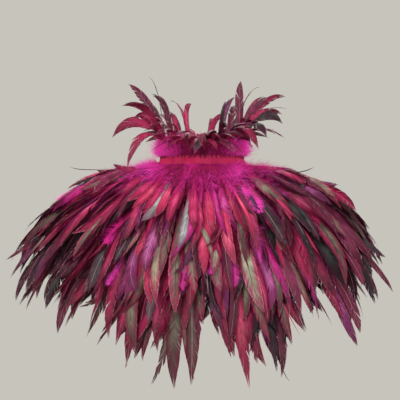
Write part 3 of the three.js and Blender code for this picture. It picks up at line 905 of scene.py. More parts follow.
def yoke_row(level, count, lift, rng):
    """One ring of feathers on the yoke."""
    reach = wall_reach(row_value("share", level)) - RING_GAP
    angle = even_angles(count, row_place("side_bend", level)[0], row_place("back_bend", level)[0], reach)
    shift = rng.uniform(-RING_SHIFT, RING_SHIFT, count) * (2 * reach / count)
    angle = np.clip(angle + shift, -reach, reach)
    levels = np.clip(level + rng.uniform(-LEVEL_SHIFT, LEVEL_SHIFT, count), 0, 3)
    root, bend, tip = row_curves(angle, levels)
    level_way = level_ways(angle)
    outer = np.abs(np.sin(angle))

    # Each tip reaches further or less far, as the hem does at its angle and by chance.
    deg = np.degrees(angle)
    spare = rng.uniform(*TIP_CHANCE, count)
    if level > HEM_RINGS_FROM:
        long = rng.random(count) < HEM_LONG_SHARE
        spare = np.where(long, rng.uniform(*HEM_LONG, count), rng.uniform(*HEM_SHORT, count))
    parting = bell(deg - HEM_PARTING, HEM_PARTING_WIDTH) * np.clip(level - PARTING_FROM, 0, 1)
    change = (np.interp(deg, HEM_DEG, HEM_REACH) - 1) * row_value("hem_share", level)
    change = change + spare - PARTING_DEPTH * parting
    tip = bend + (tip - bend) * (1 + change * TIP_CHANGE)[:, None]

    # It sways sideways, and stands off the yoke, less so near the neck over the shoulders.
    stray = np.random.default_rng(STRAY_SEED + int(level * 100)).random(count) < STRAY_SHARE
    sway = rng.normal(0, SWAY, count) * np.where(stray, STRAY_SWAY, 1.0)
    tip = tip + level_way * sway[:, None]
    bend = bend + level_way * (sway * BEND_SWAY + rng.normal(0, BEND_CHANCE, count))[:, None]
    tip[:, 0] -= HANG_SHIFT
    out = unit(np.cross(tip - bend, level_way))
    puff = rng.uniform(*STAND_OFF, count) + lift - PRESS * outer * np.clip(PRESS_TO - level, 0, 1)
    bend = bend + out * (puff * STAND_AT_BEND)[:, None]
    tip = tip + out * (puff + rng.normal(0, STAND_CHANCE, count))[:, None]
    control = np.stack([root, root + (bend - root) * 2 / 3, tip + (bend - tip) * 2 / 3, tip], 1)

    # Ends droop over the shoulders, and curl sideways towards the tip.
    control[:, 2] += out * (SHOULDER_DROOP * outer)[:, None]
    curl = rng.normal(0, CURL, count)
    control[:, 2] += level_way * curl[:, None]
    control[:, 1] -= level_way * curl[:, None] * BEND_CURL

    made = as_feathers(control, level_way, rng)
    # Painted shade: each row's tone darkens the feathers further down.
    made["tone"] = made["tone"] * row_value("tone", level)
    # Painted light: near the top, feathers on the left side are brightened, as if lit from the upper left.
    made["tone"] = made["tone"] * (1 + 0.2 * np.clip(-np.sin(angle), 0, 1) * np.clip(2 - level, 0, 1))
    if level < NECK_RINGS_TO:
        made["vane_from"] = rng.uniform(*NECK_VANE_FROM, count)
        made["width"] = rng.uniform(*NECK_WIDTH, count)
        made["hook_across"] = made["hook_across"] * NECK_HOOK
        made["wave"] = made["wave"] * NECK_WAVE
        made["ragged"] = np.maximum(made["ragged"], NECK_RAGGED)
    made["kind"] = pick_kinds(angle, levels, rng)
    made["down"] = np.clip(rng.normal(0.52, 0.22, count) + 0.2 * outer * min(level, 1), 0, 1)
    made["angle"] = angle
    return made


def on_picture(points):
    """Where points fall in the photograph's frame, in pixels."""
    scale = -CAMERA_AT[1] / (points[..., 1] - CAMERA_AT[1]) / MM_A_PIXEL
    x = MIDDLE_PIXEL + (points[..., 0] - CAMERA_AT[0]) * scale
    y = MIDDLE_PIXEL - (points[..., 2] - CAMERA_AT[2]) * scale
    return np.stack([x, y], -1)


def at_pixel(pixel, depth):
    """The point at a depth that falls on a pixel of the photograph's frame."""
    scale = (depth - CAMERA_AT[1]) / -CAMERA_AT[1] * MM_A_PIXEL
    across, down = (place - MIDDLE_PIXEL for place in pixel)
    return np.array([CAMERA_AT[0] + across * scale, depth, CAMERA_AT[2] - down * scale])


def facing_vector(forward):
    """The way across a feather whose outer face looks towards the side that the photograph shows."""
    return unit(np.cross(forward, (0.0, 1.0, 0.0)))


# Feathers that stand out on the side shown: tip and a point further up, in the photograph's frame, kind,
# width, tone and how far the feather is lifted.
SHOWN_COLUMNS = ("tip", "from", "kind", "width", "tone", "lift")
SHOWN = {
    "neck": rows_of(SHOWN_COLUMNS, [
        ((129, 201), (146, 186), "crimson", 14, 1.15), ((134, 208), (152, 190), "coral", 14, 1.0),
        ((143, 212), (160, 194), "crimson", 15, 1.2), ((118, 192), (138, 182), "crimson", 13, 0.95),
        ((155, 215), (168, 196), "coral", 14, 0.95), ((168, 222), (177, 200), "crimson", 15, 1.1),
        ((194, 228), (192, 202), "crimson", 17, 1.1), ((212, 232), (208, 204), "coral", 17, 0.9),
        ((318, 251), (286, 214), "coral", 7, 1.3, 10), ((294, 216), (270, 194), "crimson", 9, 1.3, 6),
        ((253, 229), (240, 202), "coral", 6, 1.3, 6), ((74, 185), (104, 178), "dark", 11, 0.8),
        ((88, 178), (108, 178), "dark", 7, 0.8), ((97, 171), (112, 177), "furnace", 8, 0.9),
        ((114, 165), (128, 174), "crimson", 10, 0.8), ((71, 166), (91, 178), "dark", 1.6, 0.8),
        ((314, 169), (298, 176), "dark", 1.8, 0.8), ((283, 169), (272, 168), "crimson", 3, 1.0),
        ((336, 186), (312, 184), "purple", 17, 0.95),
    ]),
    "shoulder": rows_of(SHOWN_COLUMNS, [
        ((143, 220), (161, 204), "silver", 18, 1.1, 9), ((179, 247), (188, 226), "silver", 15, 1.25),
        ((147, 270), (145, 238), "purple", 23, 1.15), ((206, 272), (200, 224), "coral", 22, 1.0),
        ((214, 272), (218, 246), "olive", 23, 1.3), ((287, 244), (266, 214), "dark", 26, 1.2),
        ((258, 249), (250, 208), "crimson", 17, 0.85), ((235, 262), (225, 222), "coral", 22, 0.9),
        ((128, 234), (142, 196), "crimson", 20, 1.1), ((80, 190), (106, 184), "furnace", 14, 0.9),
        ((75, 232), (112, 212), "crimson", 20, 1.1), ((345, 236), (325, 208), "olive", 19, 0.8),
        ((116, 262), (124, 234), "dark", 17, 1.1), ((318, 238), (303, 208), "dark", 17, 1.0),
        ((74, 258), (88, 232), "furnace", 20, 0.85),
    ]),
    "middle": rows_of(SHOWN_COLUMNS, [
        ((264, 308), (242, 262), "olive", 27, 1.25), ((174, 309), (171, 262), "furnace", 27, 1.1),
        ((193, 292), (190, 262), "furnace", 22, 1.3), ((155, 300), (152, 250), "furnace", 20, 1.4),
        ((152, 303), (140, 264), "coral", 20, 0.9), ((221, 290), (213, 262), "olive", 24, 1.1),
        ((270, 307), (275, 272), "purple", 18, 1.35), ((267, 321), (262, 280), "crimson", 18, 0.8),
        ((298, 333), (262, 280), "coral", 2.4, 1.3), ((209, 293), (202, 272), "silver", 2.6, 1.3),
        ((300, 310), (293, 262), "burgundy", 19, 1.0), ((357, 343), (345, 310), "purple", 20, 0.9),
        ((360, 330), (350, 295), "burgundy", 18, 1.1), ((17, 298), (27, 262), "dark", 16, 1.3),
        ((26, 288), (36, 252), "dark", 20, 1.1), ((36, 280), (46, 244), "purple", 18, 0.8),
        ((8, 259), (28, 246), "burgundy", 9, 1.0), ((391, 290), (378, 262), "burgundy", 13, 0.9),
        ((365, 284), (358, 258), "burgundy", 17, 1.2), ((384, 256), (364, 246), "dark", 12, 1.0),
        ((88, 290), (97, 260), "dark", 21, 1.1), ((98, 296), (106, 262), "dark", 16, 1.3),
    ]),
    "hem": rows_of(SHOWN_COLUMNS, [
        ((175, 382), (171, 310), "furnace", 29, 0.52), ((190, 378), (192, 305), "furnace", 24, 0.56),
        ((158, 347), (156, 295), "crimson", 16, 0.8), ((134, 350), (119, 295), "furnace", 21, 0.7),
        ((108, 333), (103, 280), "crimson", 17, 0.95), ((230, 351), (207, 290), "crimson", 18, 0.95),
        ((222, 330), (206, 285), "purple", 16, 0.8), ((248, 379), (232, 285), "coral", 26, 0.95),
        ((257, 359), (246, 305), "crimson", 19, 0.8), ((275, 367), (269, 315), "dark", 18, 0.9),
        ((282, 373), (290, 325), "burgundy", 15, 0.7), ((289, 380), (276, 368), "dark", 1.8, 1.0),
        ((58, 330), (64, 292), "burgundy", 18, 0.9), ((46, 306), (56, 276), "dark", 17, 1.0),
    ]),
}

# Downy feathers with no vane on the side shown, each a puff at its tip, its shade 0 for the brightest.
PUFF_SHADE = 0.16
PUFFS = rows_of(("tip", "from", "lift", "shade"), [
    ((182, 291), (182, 268), 10), ((260, 258), (254, 230), 18, 0.04), ((109, 284), (112, 264), 5),
    ((110, 244), (115, 228), 1, 0.42), ((60, 201), (80, 190), 7), ((257, 213), (248, 192), -13),
    ((209, 272), (206, 250), 5), ((232, 284), (230, 262), 5),
])


# The roots that are tried for a feather shown, how much its second point counts in the choice, and how its
# curve leaves the root: by this share of the way to that point, and by this far out.
TRIED_LEVELS = np.linspace(0, 3, 31)
TRIED_DEGREES = np.arange(-92, 93, 1.0)
FROM_COUNTS = 0.25
LEAVE_SHARE, LEAVE_OUT = 0.6, 6

# The second point's share of the feather's lift, of its curve's third point and of the way that it faces.
THROUGH = 0.75


def shown_curves(rows, puff):
    """Curves to given tips, each from the row of roots whose own tips fall nearest."""
    levels, angles = np.meshgrid(TRIED_LEVELS, np.radians(TRIED_DEGREES), indexing="ij")
    levels, angles = levels.ravel(), angles.ravel()
    root, bend, tip = row_curves(angles, levels)
    tip_pixels, bend_pixels = on_picture(tip), on_picture(bend)
    controls, vectors, chosen = [], [], []
    for row in rows:
        miss = np.linalg.norm(tip_pixels - row["tip"], axis=1)
        miss += FROM_COUNTS * np.linalg.norm(bend_pixels - row["from"], axis=1)
        i = int(np.argmin(miss))
        level_way = level_ways(angles[i : i + 1])[0]
        out = unit(np.cross(tip[i] - bend[i], level_way))
        rise = puff + row.get("lift", 0)
        through = at_pixel(row["from"], (bend[i] + out * (rise * THROUGH))[1])
        end = at_pixel(row["tip"], (tip[i] + out * rise)[1])
        first = root[i] + (through - root[i]) * LEAVE_SHARE + out * LEAVE_OUT
        second = through * THROUGH + end * (1 - THROUGH)
        controls.append(np.stack([root[i], first, second, end]))
        vectors.append(facing_vector(end - through) * THROUGH + level_way * (1 - THROUGH))
        chosen.append(i)
    return np.stack(controls), np.stack(vectors), angles[chosen]


def shown_feathers(rows, puff, dim, bare, rng):
    """The feathers of one part of SHOWN, their tone darkened by painted shade and more of each quill bare."""
    control, vectors, angles = shown_curves(rows, puff)
    count = len(rows)
    made = as_feathers(
        control, vectors, rng,
        width=np.array([row["width"] for row in rows], float),
        roll=rng.normal(0, 0.1, count),
        twist=rng.normal(0, 0.2, count),
        tone=np.array([row["tone"] for row in rows]) * dim,
        ragged=np.full(count, 0.05),
        vane_from=rng.uniform(0.1, 0.2, count) + bare,
        hook_across=np.zeros(count),
        hook_out=np.zeros(count),
    )
    made["kind"] = kind_values(row["kind"] for row in rows)
    made["angle"] = angles
    return made


# Where bright fluff shows between the neck's feathers: place in the photograph's frame, radius and strength.
NECK_FLUFF = [
    (150, 169, 13, 1.0), (135, 176, 9, 0.7), (190, 172, 9, 0.3), (208, 186, 11, 0.5), (234, 172, 13, 1.0),
    (248, 187, 10, 0.6), (264, 172, 10, 0.6),
]


def fluff_patch(points, angle):
    """How much bright fluff shows at points: the patches of the side shown, and a like pattern behind."""
    pixel = on_picture(points)
    shown = np.zeros(len(points))
    for x, y, radius, strength in NECK_FLUFF:
        shown = np.maximum(shown, strength * bell(np.hypot(pixel[:, 0] - x, pixel[:, 1] - y), radius))
    behind = np.clip(np.sin(angle * 6 + 0.7) * 0.8 + 0.3, 0, 1)
    return np.where(np.cos(angle) > 0.05, shown, behind)


DOWN_SHARE = 1.0

# How many loose strands, and how many on a puff and on a collar feather.
NECK_LOOSE = 18000
TAPE_LOOSE = 2600
COLLAR_LOOSE = 20000
PUFF_STRANDS = 900
COLLAR_STRANDS = 60

# Widths of strands, and how near the opening they grow.
THIN, FINE, LOOSE, THICK = 0.26, 0.4, 0.42, 0.55
EDGE_GAP = 0.02

# The neck's down: its shade where it is plain, how much brighter it is in patches, how much of it grows
# outside them, and how far off the yoke the patches are read.
NECK_SHADE = 0.68
NECK_BRIGHTER = 0.64
GROWS = 0.4
PATCH_LIFT = 3.0
PATCH_PLACE = 0.2

# Where down counts as bright, on quills and loose, and where it grows: along the quills of the neck, of the
# other rows and of a puff, down the yoke as a share, and up the tape's lower edge.
BRIGHT_QUILL, BRIGHT_LOOSE_DOWN = 0.4, 0.35
NECK_SPAN = (0.0, 0.46)
ROW_SPAN = (0.02, 0.4)
PUFF_SPAN = (0.45, 1.0)
YOKE_SPAN = (0.006, 0.17)
TAPE_SPAN = (-2.2, -0.2)

# The down over the tape's edge, its shade where plain and how much brighter it is in patches.
TAPE_SHADE, TAPE_BRIGHTER = 0.58, 0.5

# How strands lie in bright patches of fluff and in plain down between them, on quills and loose.
BRIGHT_ON_QUILLS = {"lengths": (9, 21), "spread": 0.7, "ahead": (0.3, 1.3)}
PLAIN_ON_QUILLS = {"lengths": (8, 18), "spread": 0.3, "ahead": (1.2, 4.0)}
BRIGHT_LOOSE = {"lengths": (10, 23), "stand": 0.9, "ahead": (0.4, 1.2)}
PLAIN_LOOSE = {"lengths": (8, 17), "stand": 0.35, "ahead": (1.2, 3.5)}
UNDER_TAPE = {"lengths": (4, 9), "stand": 0.45, "ahead": (1.0, 2.6)}
ROW_LENGTHS = (9, 22)
ON_PUFFS = {"lengths": (9, 24), "spread": 0.25, "ahead": (0.3, 1.6), "oval": 0.7}


def round_the_neck(count, rng):
    return rng.uniform(-1, 1, count) * (NECK_REACH - EDGE_GAP)


def neck_down(feathers, each, rng):
    """Down on the neck row's quills, loose on the yoke, and in short strands over the tape's lower edge."""
    count = len(feathers["width"])
    bases = curve_at(feathers["control"], np.full((count, 1), PATCH_PLACE))[0][:, 0]
    patch = fluff_patch(bases, feathers["angle"])
    feathers["down"] = np.clip(NECK_SHADE - NECK_BRIGHTER * patch + rng.normal(0, 0.08, count), 0, 1)
    parts = []
    bright = patch > BRIGHT_QUILL
    for some, look in ((bright, BRIGHT_ON_QUILLS), (~bright, PLAIN_ON_QUILLS)):
        chosen = {key: values[some] for key, values in feathers.items()}
        parts.append(down_of(chosen, each, NECK_SPAN, FINE, rng, **look))

    count = int(NECK_LOOSE * DOWN_SHARE)
    angle = round_the_neck(count, rng)
    share = rng.uniform(*YOKE_SPAN, count)
    patch = fluff_patch(on_yoke(angle, share, PATCH_LIFT), angle)
    kept = rng.random(count) < GROWS + (1 - GROWS) * patch
    angle, share, patch = angle[kept], share[kept], patch[kept]
    own = NECK_SHADE - NECK_BRIGHTER * patch
    bright = patch > BRIGHT_LOOSE_DOWN
    for some, look in ((bright, BRIGHT_LOOSE), (~bright, PLAIN_LOOSE)):
        parts.append(loose_down(on_yoke, angle[some], share[some], 0.02, 1.8, own[some], LOOSE, rng, **look))

    count = int(TAPE_LOOSE * DOWN_SHARE)
    angle = round_the_neck(count, rng)
    own = TAPE_SHADE - TAPE_BRIGHTER * fluff_patch(on_yoke(angle, 0.05, PATCH_LIFT), angle)
    height = rng.uniform(*TAPE_SPAN, count)
    parts.append(loose_down(on_stand, angle, height, -1.0, 4.4, own, FINE, rng, **UNDER_TAPE))
    return parts


def puff_down(rng):
    control, vectors, _ = shown_curves(PUFFS, 0)
    puffs = as_feathers(control, vectors, rng, down=np.array([row.get("shade", PUFF_SHADE) for row in PUFFS]))
    return down_of(puffs, int(PUFF_STRANDS * DOWN_SHARE), PUFF_SPAN, THIN, rng, **ON_PUFFS)


# Each row's rings: where each lies between the rows, how many feathers it has and how far they stand off.
# Then the lift, the painted shade that darkens the lower rows, and the bare quill of the feathers shown,
# and the strands of down a feather.
YOKE_ROWS = rows_of(("row", "seed", "rings", "puff", "dim", "bare", "strands"), [
    ("neck", 11, [(0.0, 58, 3.0), (0.25, 60, 1.0), (0.55, 60, 0.0)], 8, 1.0, 0.2, 100),
    ("shoulder", 12, [(0.85, 54, 1.0), (1.1, 56, 0.0), (1.45, 58, 0.0)], 14, 1.0, 0.0, 36),
    ("middle", 13, [(1.8, 60, 0.0), (2.1, 60, 0.0), (2.45, 60, 0.0)], 12, 0.92, 0.0, 32),
    ("hem", 14, [(2.75, 58, 0.0), (3.0, 54, 0.0), (3.0, 34, -6.0)], 8, 0.7, 0.0, 26),
])


def yoke_feathers(spec):
    """The feathers and the down of one row."""
    name = spec["row"]
    rng = np.random.default_rng(spec["seed"])
    sets = [yoke_row(*ring, rng) for ring in spec["rings"]]
    sets.append(shown_feathers(SHOWN[name], spec["puff"], spec["dim"], spec["bare"], rng))
    feathers = joined(sets)
    dress(feather_piece(f"feathers_{name}", feathers, rng), f"{name}_feathers", f"feather_row_{name}")
    each = int(spec["strands"] * DOWN_SHARE)
    if name == "neck":
        parts = neck_down(feathers, each, rng)
    else:
        parts = [down_of(feathers, each, ROW_SPAN, THICK, rng, ROW_LENGTHS)]
    if name == "shoulder":
        parts.append(puff_down(rng))
    dress(strand_piece(f"down_{name}", parts), f"{name}_feathers")


for spec in YOKE_ROWS:
    yoke_feathers(spec)


# The collar's feathers.

COLLAR_SEED = 15
COLLAR_GAP = 0.08
ROOT_HEIGHT = 8.0
ROOT_LIFT = 2.4
COLLAR_TONE = 0.85

# More of a quill is bare at the collar's sides, and on the feathers that stand out.
SIDE_BARE = 0.14
SHOWN_BARE = 0.12

# Rings of collar feathers: how many, and how much higher their tips are.
COLLAR_RINGS = [(44, 0), (40, -6)]

# A number from 0 to 1 drawn for each of them picks the first kind whose limit it doesn't pass.
COLLAR_PICKS = [(0.62, "crimson"), (0.9, "burgundy"), (0.93, "dark"), (0.98, "purple"), (1.0, "furnace")]

# At the sides most tips are drawn in by up to this share, round this angle in degrees, and crowns less.
SHORTER = 0.62
SHORTER_AT, SHORTER_WIDTH = 76, 30
SHORTER_ODDS = 0.8
SHORTER_CROWN = 0.8

# How far each shifts round, how its turn and its tip stray, its width, tone and shade of down, the last
# with painted shade that darkens the down at the back and front.
COLLAR_SHIFT = 0.05
TURN_CHANCE = 4
COLLAR_SWAY = 10
COLLAR_WIDTH = (11, 16)
COLLAR_TONES = (0.6, 1.05)
COLLAR_DOWN, COLLAR_DOWN_CHANCE, COLLAR_DOWN_PAINTED_SHADE = 0.15, 0.15, 0.6

# A turn shows in full from this many degrees on, and by this share in the middle.
TURN_FULL_AT = 60
TURN_LEAST = 0.25

# Small feathers that bend over the collar's edge at the back: how many, and how far round in degrees.
LOW_FEATHERS = 16
LOW_REACH = 44

# Collar feathers that stand out: angle, tip in the photograph's frame, its depth, crown, kind and width,
# and where they aren't like the others, the height that they leave the collar at, and tone.
COLLAR_SHOWN = rows_of(("deg", "tip", "depth", "crown", "kind", "width", "low", "tone"), [
    (-84, (131, 85), 0, (150, 96), "burgundy", 17), (-76, (125, 105), -14, (148, 100), "burgundy", 13),
    (-64, (116, 135), -50, (140, 106), "crimson", 19), (-54, (127, 163), -84, (140, 118), "crimson", 16),
    (-70, (136, 117), -30, (152, 108), "crimson", 15), (112, (242, 83), 50, (240, 100), "burgundy", 16),
    (84, (283, 96), 4, (262, 92), "crimson", 15), (76, (267, 102), -16, (250, 98), "burgundy", 16),
    (68, (280, 121), -58, (262, 100), "dark", 20), (60, (266, 134), -84, (255, 110), "dark", 18),
    (52, (258, 145), -90, (246, 112), "crimson", 18), (66, (280, 112), -40, (260, 104), "crimson", 15),
    (-6, (195, 151), -92, (200, 132), "silver", 20, 34, 1.5),
    (8, (213, 134), -100, (207, 128), "crimson", 13), (-104, (150, 78), 20, (160, 88), "dark", 1.6),
])


def arch_control(angle, turn, shown):
    """Cubic curves of collar feathers at angles round the neck."""
    deg = np.abs(np.degrees(angle))
    arch = {key: np.interp(deg, ARCHES["deg"], column) for key, column in ARCHES.items() if key != "deg"}
    seam_up = np.where(np.cos(angle) > 0, 0.0, -FRONT_DROP * np.cos(angle) ** 2)

    def at(out, up):
        return np.stack([out * np.sin(angle), -out * np.cos(angle), up + seam_up], -1)

    leave = on_stand(angle, ROOT_HEIGHT, 2.2)
    rise = at(arch["rise_out"] + 6, arch["rise_up"])
    crown = at(arch["crown_out"], arch["crown_up"] + turn[:, 0] * shown * 0.6)
    tip = at(arch["tip_out"] + turn[:, 1] * shown, arch["tip_up"] + turn[:, 0] * shown)
    return np.stack([leave, rise, crown, tip], 1)


def collar_sides(angle):
    """0 at the collar's back and front, and 1 at its sides, where fluff hides the feathers' bases."""
    return np.clip(np.abs(np.sin(angle)) * 3.6 - 1.35, 0, 1)


def collar_ring(count, height, rng):
    """One ring of arching feathers all round the collar."""
    reach = NECK_REACH - COLLAR_GAP
    angle = even_angles(count, ARCHES["crown_out"][3], ARCHES["crown_out"][0], reach)
    angle = angle + rng.uniform(-COLLAR_SHIFT, COLLAR_SHIFT, count)
    turn = COLLAR_TURNS[np.arange(count) % len(COLLAR_TURNS)] + rng.normal(0, TURN_CHANCE, (count, 2))
    turn[:, 0] += height
    deg = np.abs(np.degrees(angle))
    control = arch_control(angle, turn, np.clip(deg / TURN_FULL_AT, TURN_LEAST, 1))
    level_way = level_ways(angle)
    control[:, 3] += level_way * rng.normal(0, COLLAR_SWAY, count)[:, None]
    short = SHORTER * np.exp(-(((deg - SHORTER_AT) / SHORTER_WIDTH) ** 4))
    short = short * (rng.random(count) < SHORTER_ODDS)
    control[:, 3] -= (control[:, 3] - control[:, 1]) * short[:, None]
    control[:, 2] -= (control[:, 2] - control[:, 1]) * (short * SHORTER_CROWN)[:, None]
    made = as_feathers(control, level_way, rng, width=rng.uniform(*COLLAR_WIDTH, count))
    made["vane_from"] = made["vane_from"] + SIDE_BARE * collar_sides(angle)
    picked = np.searchsorted([share for share, _ in COLLAR_PICKS[:-1]], rng.random(count))
    made["kind"] = kind_values(COLLAR_PICKS[i][1] for i in picked)
    made["tone"] = rng.uniform(*COLLAR_TONES, count)
    shade = rng.normal(COLLAR_DOWN, COLLAR_DOWN_CHANCE, count)
    # Painted shade: the down is darker at the collar's back and front.
    made["down"] = np.clip(shade + COLLAR_DOWN_PAINTED_SHADE * np.cos(angle) ** 2, 0, 1)
    return made


def low_collar_feathers(rng):
    """Small feathers at the back that bend over the collar's upper edge."""
    count = LOW_FEATHERS
    angle = np.radians(np.linspace(-LOW_REACH, LOW_REACH, count) + rng.uniform(-3, 3, count))
    level_way = level_ways(angle)
    up = np.array([0, 0, 1])
    control = np.stack([
        on_stand(angle, 9.0, ROOT_LIFT),
        on_stand(angle, STAND_HEIGHT, 4.0) + up * 14,
        on_stand(angle, STAND_HEIGHT, rng.uniform(14, 24, count)) + up * 16,
        on_stand(angle, STAND_HEIGHT - 9, rng.uniform(13, 24, count)) + up * rng.uniform(-16, 8, (count, 1)),
    ], 1)
    control[:, 3] += level_way * rng.normal(0, 11, count)[:, None]
    made = as_feathers(control, level_way, rng, width=rng.uniform(7, 12, count), hook_across=np.zeros(count))
    made["kind"] = kind_values(rng.choice(["crimson", "burgundy"], count, p=[0.75, 0.25]))
    made["tone"] = rng.uniform(0.7, 1.1, count)
    return made


def shown_collar_feathers(rng):
    """The feathers of COLLAR_SHOWN."""
    controls, vectors = [], []
    for row in COLLAR_SHOWN:
        angle = math.radians(row["deg"])
        low = row.get("low", ROOT_HEIGHT)
        over_edge = 14 if low < 20 else 0
        leave = on_stand(angle, low, ROOT_LIFT)
        above = on_stand(angle, STAND_HEIGHT, 6.0) + (0, 0, over_edge)
        tip = at_pixel(row["tip"], row["depth"])
        crown = at_pixel(row["crown"], (leave[1] * 0.4 + row["depth"] * 0.6))
        controls.append(np.stack([leave, above, crown, tip]))
        vectors.append(facing_vector(tip - crown))
    count = len(COLLAR_SHOWN)
    made = as_feathers(
        np.stack(controls), np.array(vectors), rng,
        width=np.array([row["width"] for row in COLLAR_SHOWN], float),
        roll=rng.normal(0, 0.2, count),
        twist=rng.normal(0, 0.3, count),
        tone=np.array([row.get("tone", COLLAR_TONE) for row in COLLAR_SHOWN]),
        hook_across=np.zeros(count),
        hook_out=np.zeros(count),
    )
    made["vane_from"] = made["vane_from"] + SHOWN_BARE
    made["kind"] = kind_values(row["kind"] for row in COLLAR_SHOWN)
    return made


# The collar's down: where it grows on quills and up the stand, its shade where plain, how much lighter
# it is at the sides, a painted light, where it counts as bright, and how its strands lie.
COLLAR_SPAN = (0.05, 0.3)
STAND_SPAN = (12.5, 38)
COLLAR_SHADE, COLLAR_SIDE_PAINTED_LIGHT = 0.56, 0.54
BRIGHT_SIDES = 0.4
ON_COLLAR = {"lengths": (6, 14), "spread": 0.9}
PLAIN_COLLAR = {"lengths": (10, 19), "stand": 0.35, "ahead": (0.8, 2.6)}
BRIGHT_COLLAR = {"lengths": (13, 28), "stand": 1.0, "ahead": (-0.1, 1.0)}


def collar_down(feathers, rng):
    """Down on the collar's quills and loose on the stand, full at the sides and painted lighter there."""
    parts = [down_of(feathers, int(COLLAR_STRANDS * DOWN_SHARE), COLLAR_SPAN, FINE, rng, **ON_COLLAR)]
    count = int(COLLAR_LOOSE * DOWN_SHARE)
    angle = round_the_neck(count, rng)
    sides = collar_sides(angle)
    kept = rng.random(count) < GROWS + (1 - GROWS) * sides
    angle, sides = angle[kept], sides[kept]
    height = rng.uniform(*STAND_SPAN, len(angle))
    # Painted light: the loose down is lighter at the collar's sides, as if lit more fully there, and darker
    # at back and front.
    own = COLLAR_SHADE - COLLAR_SIDE_PAINTED_LIGHT * sides
    bright = sides >= BRIGHT_SIDES
    for some, look in ((~bright, PLAIN_COLLAR), (bright, BRIGHT_COLLAR)):
        parts.append(loose_down(on_stand, angle[some], height[some], 1.0, 1.0, own[some], LOOSE, rng, **look))
    return parts


rng = np.random.default_rng(COLLAR_SEED)
rings = [collar_ring(count, height, rng) for count, height in COLLAR_RINGS]
collar = joined([*rings, low_collar_feathers(rng), shown_collar_feathers(rng)])
dress(feather_piece("feathers_collar", collar, rng), "collar_plumes", "collar_feathers")
dress(strand_piece("down_collar", collar_down(collar, rng)), "collar_plumes")


# Cloth: yoke panels, collar stand, neck tape and heading tapes.


def around_and_down(points):
    """How far round and how far down each point of a grid lies, in metres."""
    found = {}
    for key, axis in (("around", 1), ("down", 0)):
        steps = np.linalg.norm(np.diff(points, axis=axis), axis=-1)
        start = np.zeros_like(steps.take([0], axis))
        found[key] = np.concatenate([start, np.cumsum(steps, axis)], axis) * MM
    return found


def band(name, look, on, places, reach, outer, inner, columns, part=(0.0, 1.0)):
    """A cloth wall between two lifts off a surface, over part of the way round, and its area."""
    share = np.linspace(part[0], part[1], columns)
    angle = np.stack([reach(place) * (2 * share - 1) for place in places])
    along = np.repeat(places[:, None], columns, 1)
    outside = on(angle, along, outer(angle, along))
    inside = on(angle, along, inner(angle, along))
    return wall_mesh(name, outside, inside, look, around_and_down(outside)), grid_area(outside)


def neck_reach(_height):
    return NECK_REACH


def flat_lift(value):
    return lambda angle, along: value


# The yoke: creases, a rolled edge at the hem, and panels by node, part of the way round, columns and size.
CREASE = 1.1
HEM_ROLL, HEM_ROLL_AT, HEM_ROLL_WIDTH = 0.7, 0.975, 0.02
WELT, WELT_WIDTH = 0.5, 0.02
YOKE_SINK = 0.5
YOKE_CLOTH = 1.0
YOKE_PLACES = np.concatenate([np.linspace(0.0, 0.94, 26), np.linspace(0.95, 1.0, 9)])
PANELS = [
    ("yoke_front_left", (0.0, 0.2496), 36, (0.30, 0.26)),
    ("yoke_back", (0.2504, 0.7496), 70, (0.56, 0.27)),
    ("yoke_front_right", (0.7504, 1.0), 36, (0.30, 0.26)),
]


def hem_roll(share):
    return HEM_ROLL * bell(share - HEM_ROLL_AT, HEM_ROLL_WIDTH)


def yoke_lift(angle, share):
    """Soft creases that deepen towards the hem, a rolled edge along it, and the shoulder seams' welts."""
    crease = np.sin(angle * 17 + 1.3 * np.sin(angle * 5)) * CREASE * share**2
    seam = WELT * bell(np.abs(angle) - wall_reach(share) / 2, WELT_WIDTH)
    return crease - YOKE_SINK + hem_roll(share) + seam


def yoke_lining(angle, share):
    return yoke_lift(angle, share) - YOKE_CLOTH - 2 * hem_roll(share)


for node, part, columns, flat in PANELS:
    piece, area = band(
        f"{node}_cloth", yoke_look, on_yoke, YOKE_PLACES, wall_reach, yoke_lift, yoke_lining, columns, part
    )
    dress(piece, "ground_cloth", node)

stand_places = np.linspace(0.5, STAND_HEIGHT, 14)[::-1]
stand_lifts = flat_lift(0), flat_lift(-STAND_WALL)
piece, area = band("collar_stand_cloth", stand_look, on_stand, stand_places, neck_reach, *stand_lifts, 120)
dress(piece, "collar_cloth", "collar_stand")

# The neck tape: its inner face's lift, its cloth, its turned edges, and the quills that press through it.
TAPE_IN = SEAM_GAP + HEADING_WALL + 0.2
TAPE_CLOTH = 0.8
TAPE_SEED = 16
TAPE_EDGES = (-0.6, 14.2)
TAPE_EDGE, TAPE_EDGE_WIDTH = 0.35, 0.7
TAPE_FLARE = 1.6
TAPE_RADIUS = 66
RIDGES, RIDGE_WIDTH, RIDGE_LIMIT = 96, 0.9, 0.7
rng = np.random.default_rng(TAPE_SEED)
RIDGE_AT = np.sort(rng.uniform(-math.pi, math.pi, RIDGES))
RIDGE_RISE = rng.uniform(0.15, 0.6, RIDGES)


def tape_flare(height):
    """How far the tape's lower edge stands off, over the feathers that come out there."""
    return TAPE_FLARE * np.clip((1.5 - height) / 3, 0, 1)


def tape_lift(angle, height):
    """Ridges where the quills press through the tape, and a thicker turned edge top and bottom."""
    ridge = np.zeros(angle.shape)
    for at, rise in zip(RIDGE_AT, RIDGE_RISE):
        ridge += rise * bell((angle - at) * TAPE_RADIUS, RIDGE_WIDTH)
    ridge = np.minimum(ridge, RIDGE_LIMIT) * np.clip((height - 1) / 2, 0, 1)
    low, high = (bell(height - at, TAPE_EDGE_WIDTH) for at in TAPE_EDGES)
    return TAPE_IN + TAPE_CLOTH + ridge + TAPE_EDGE * (low + high) + tape_flare(height)


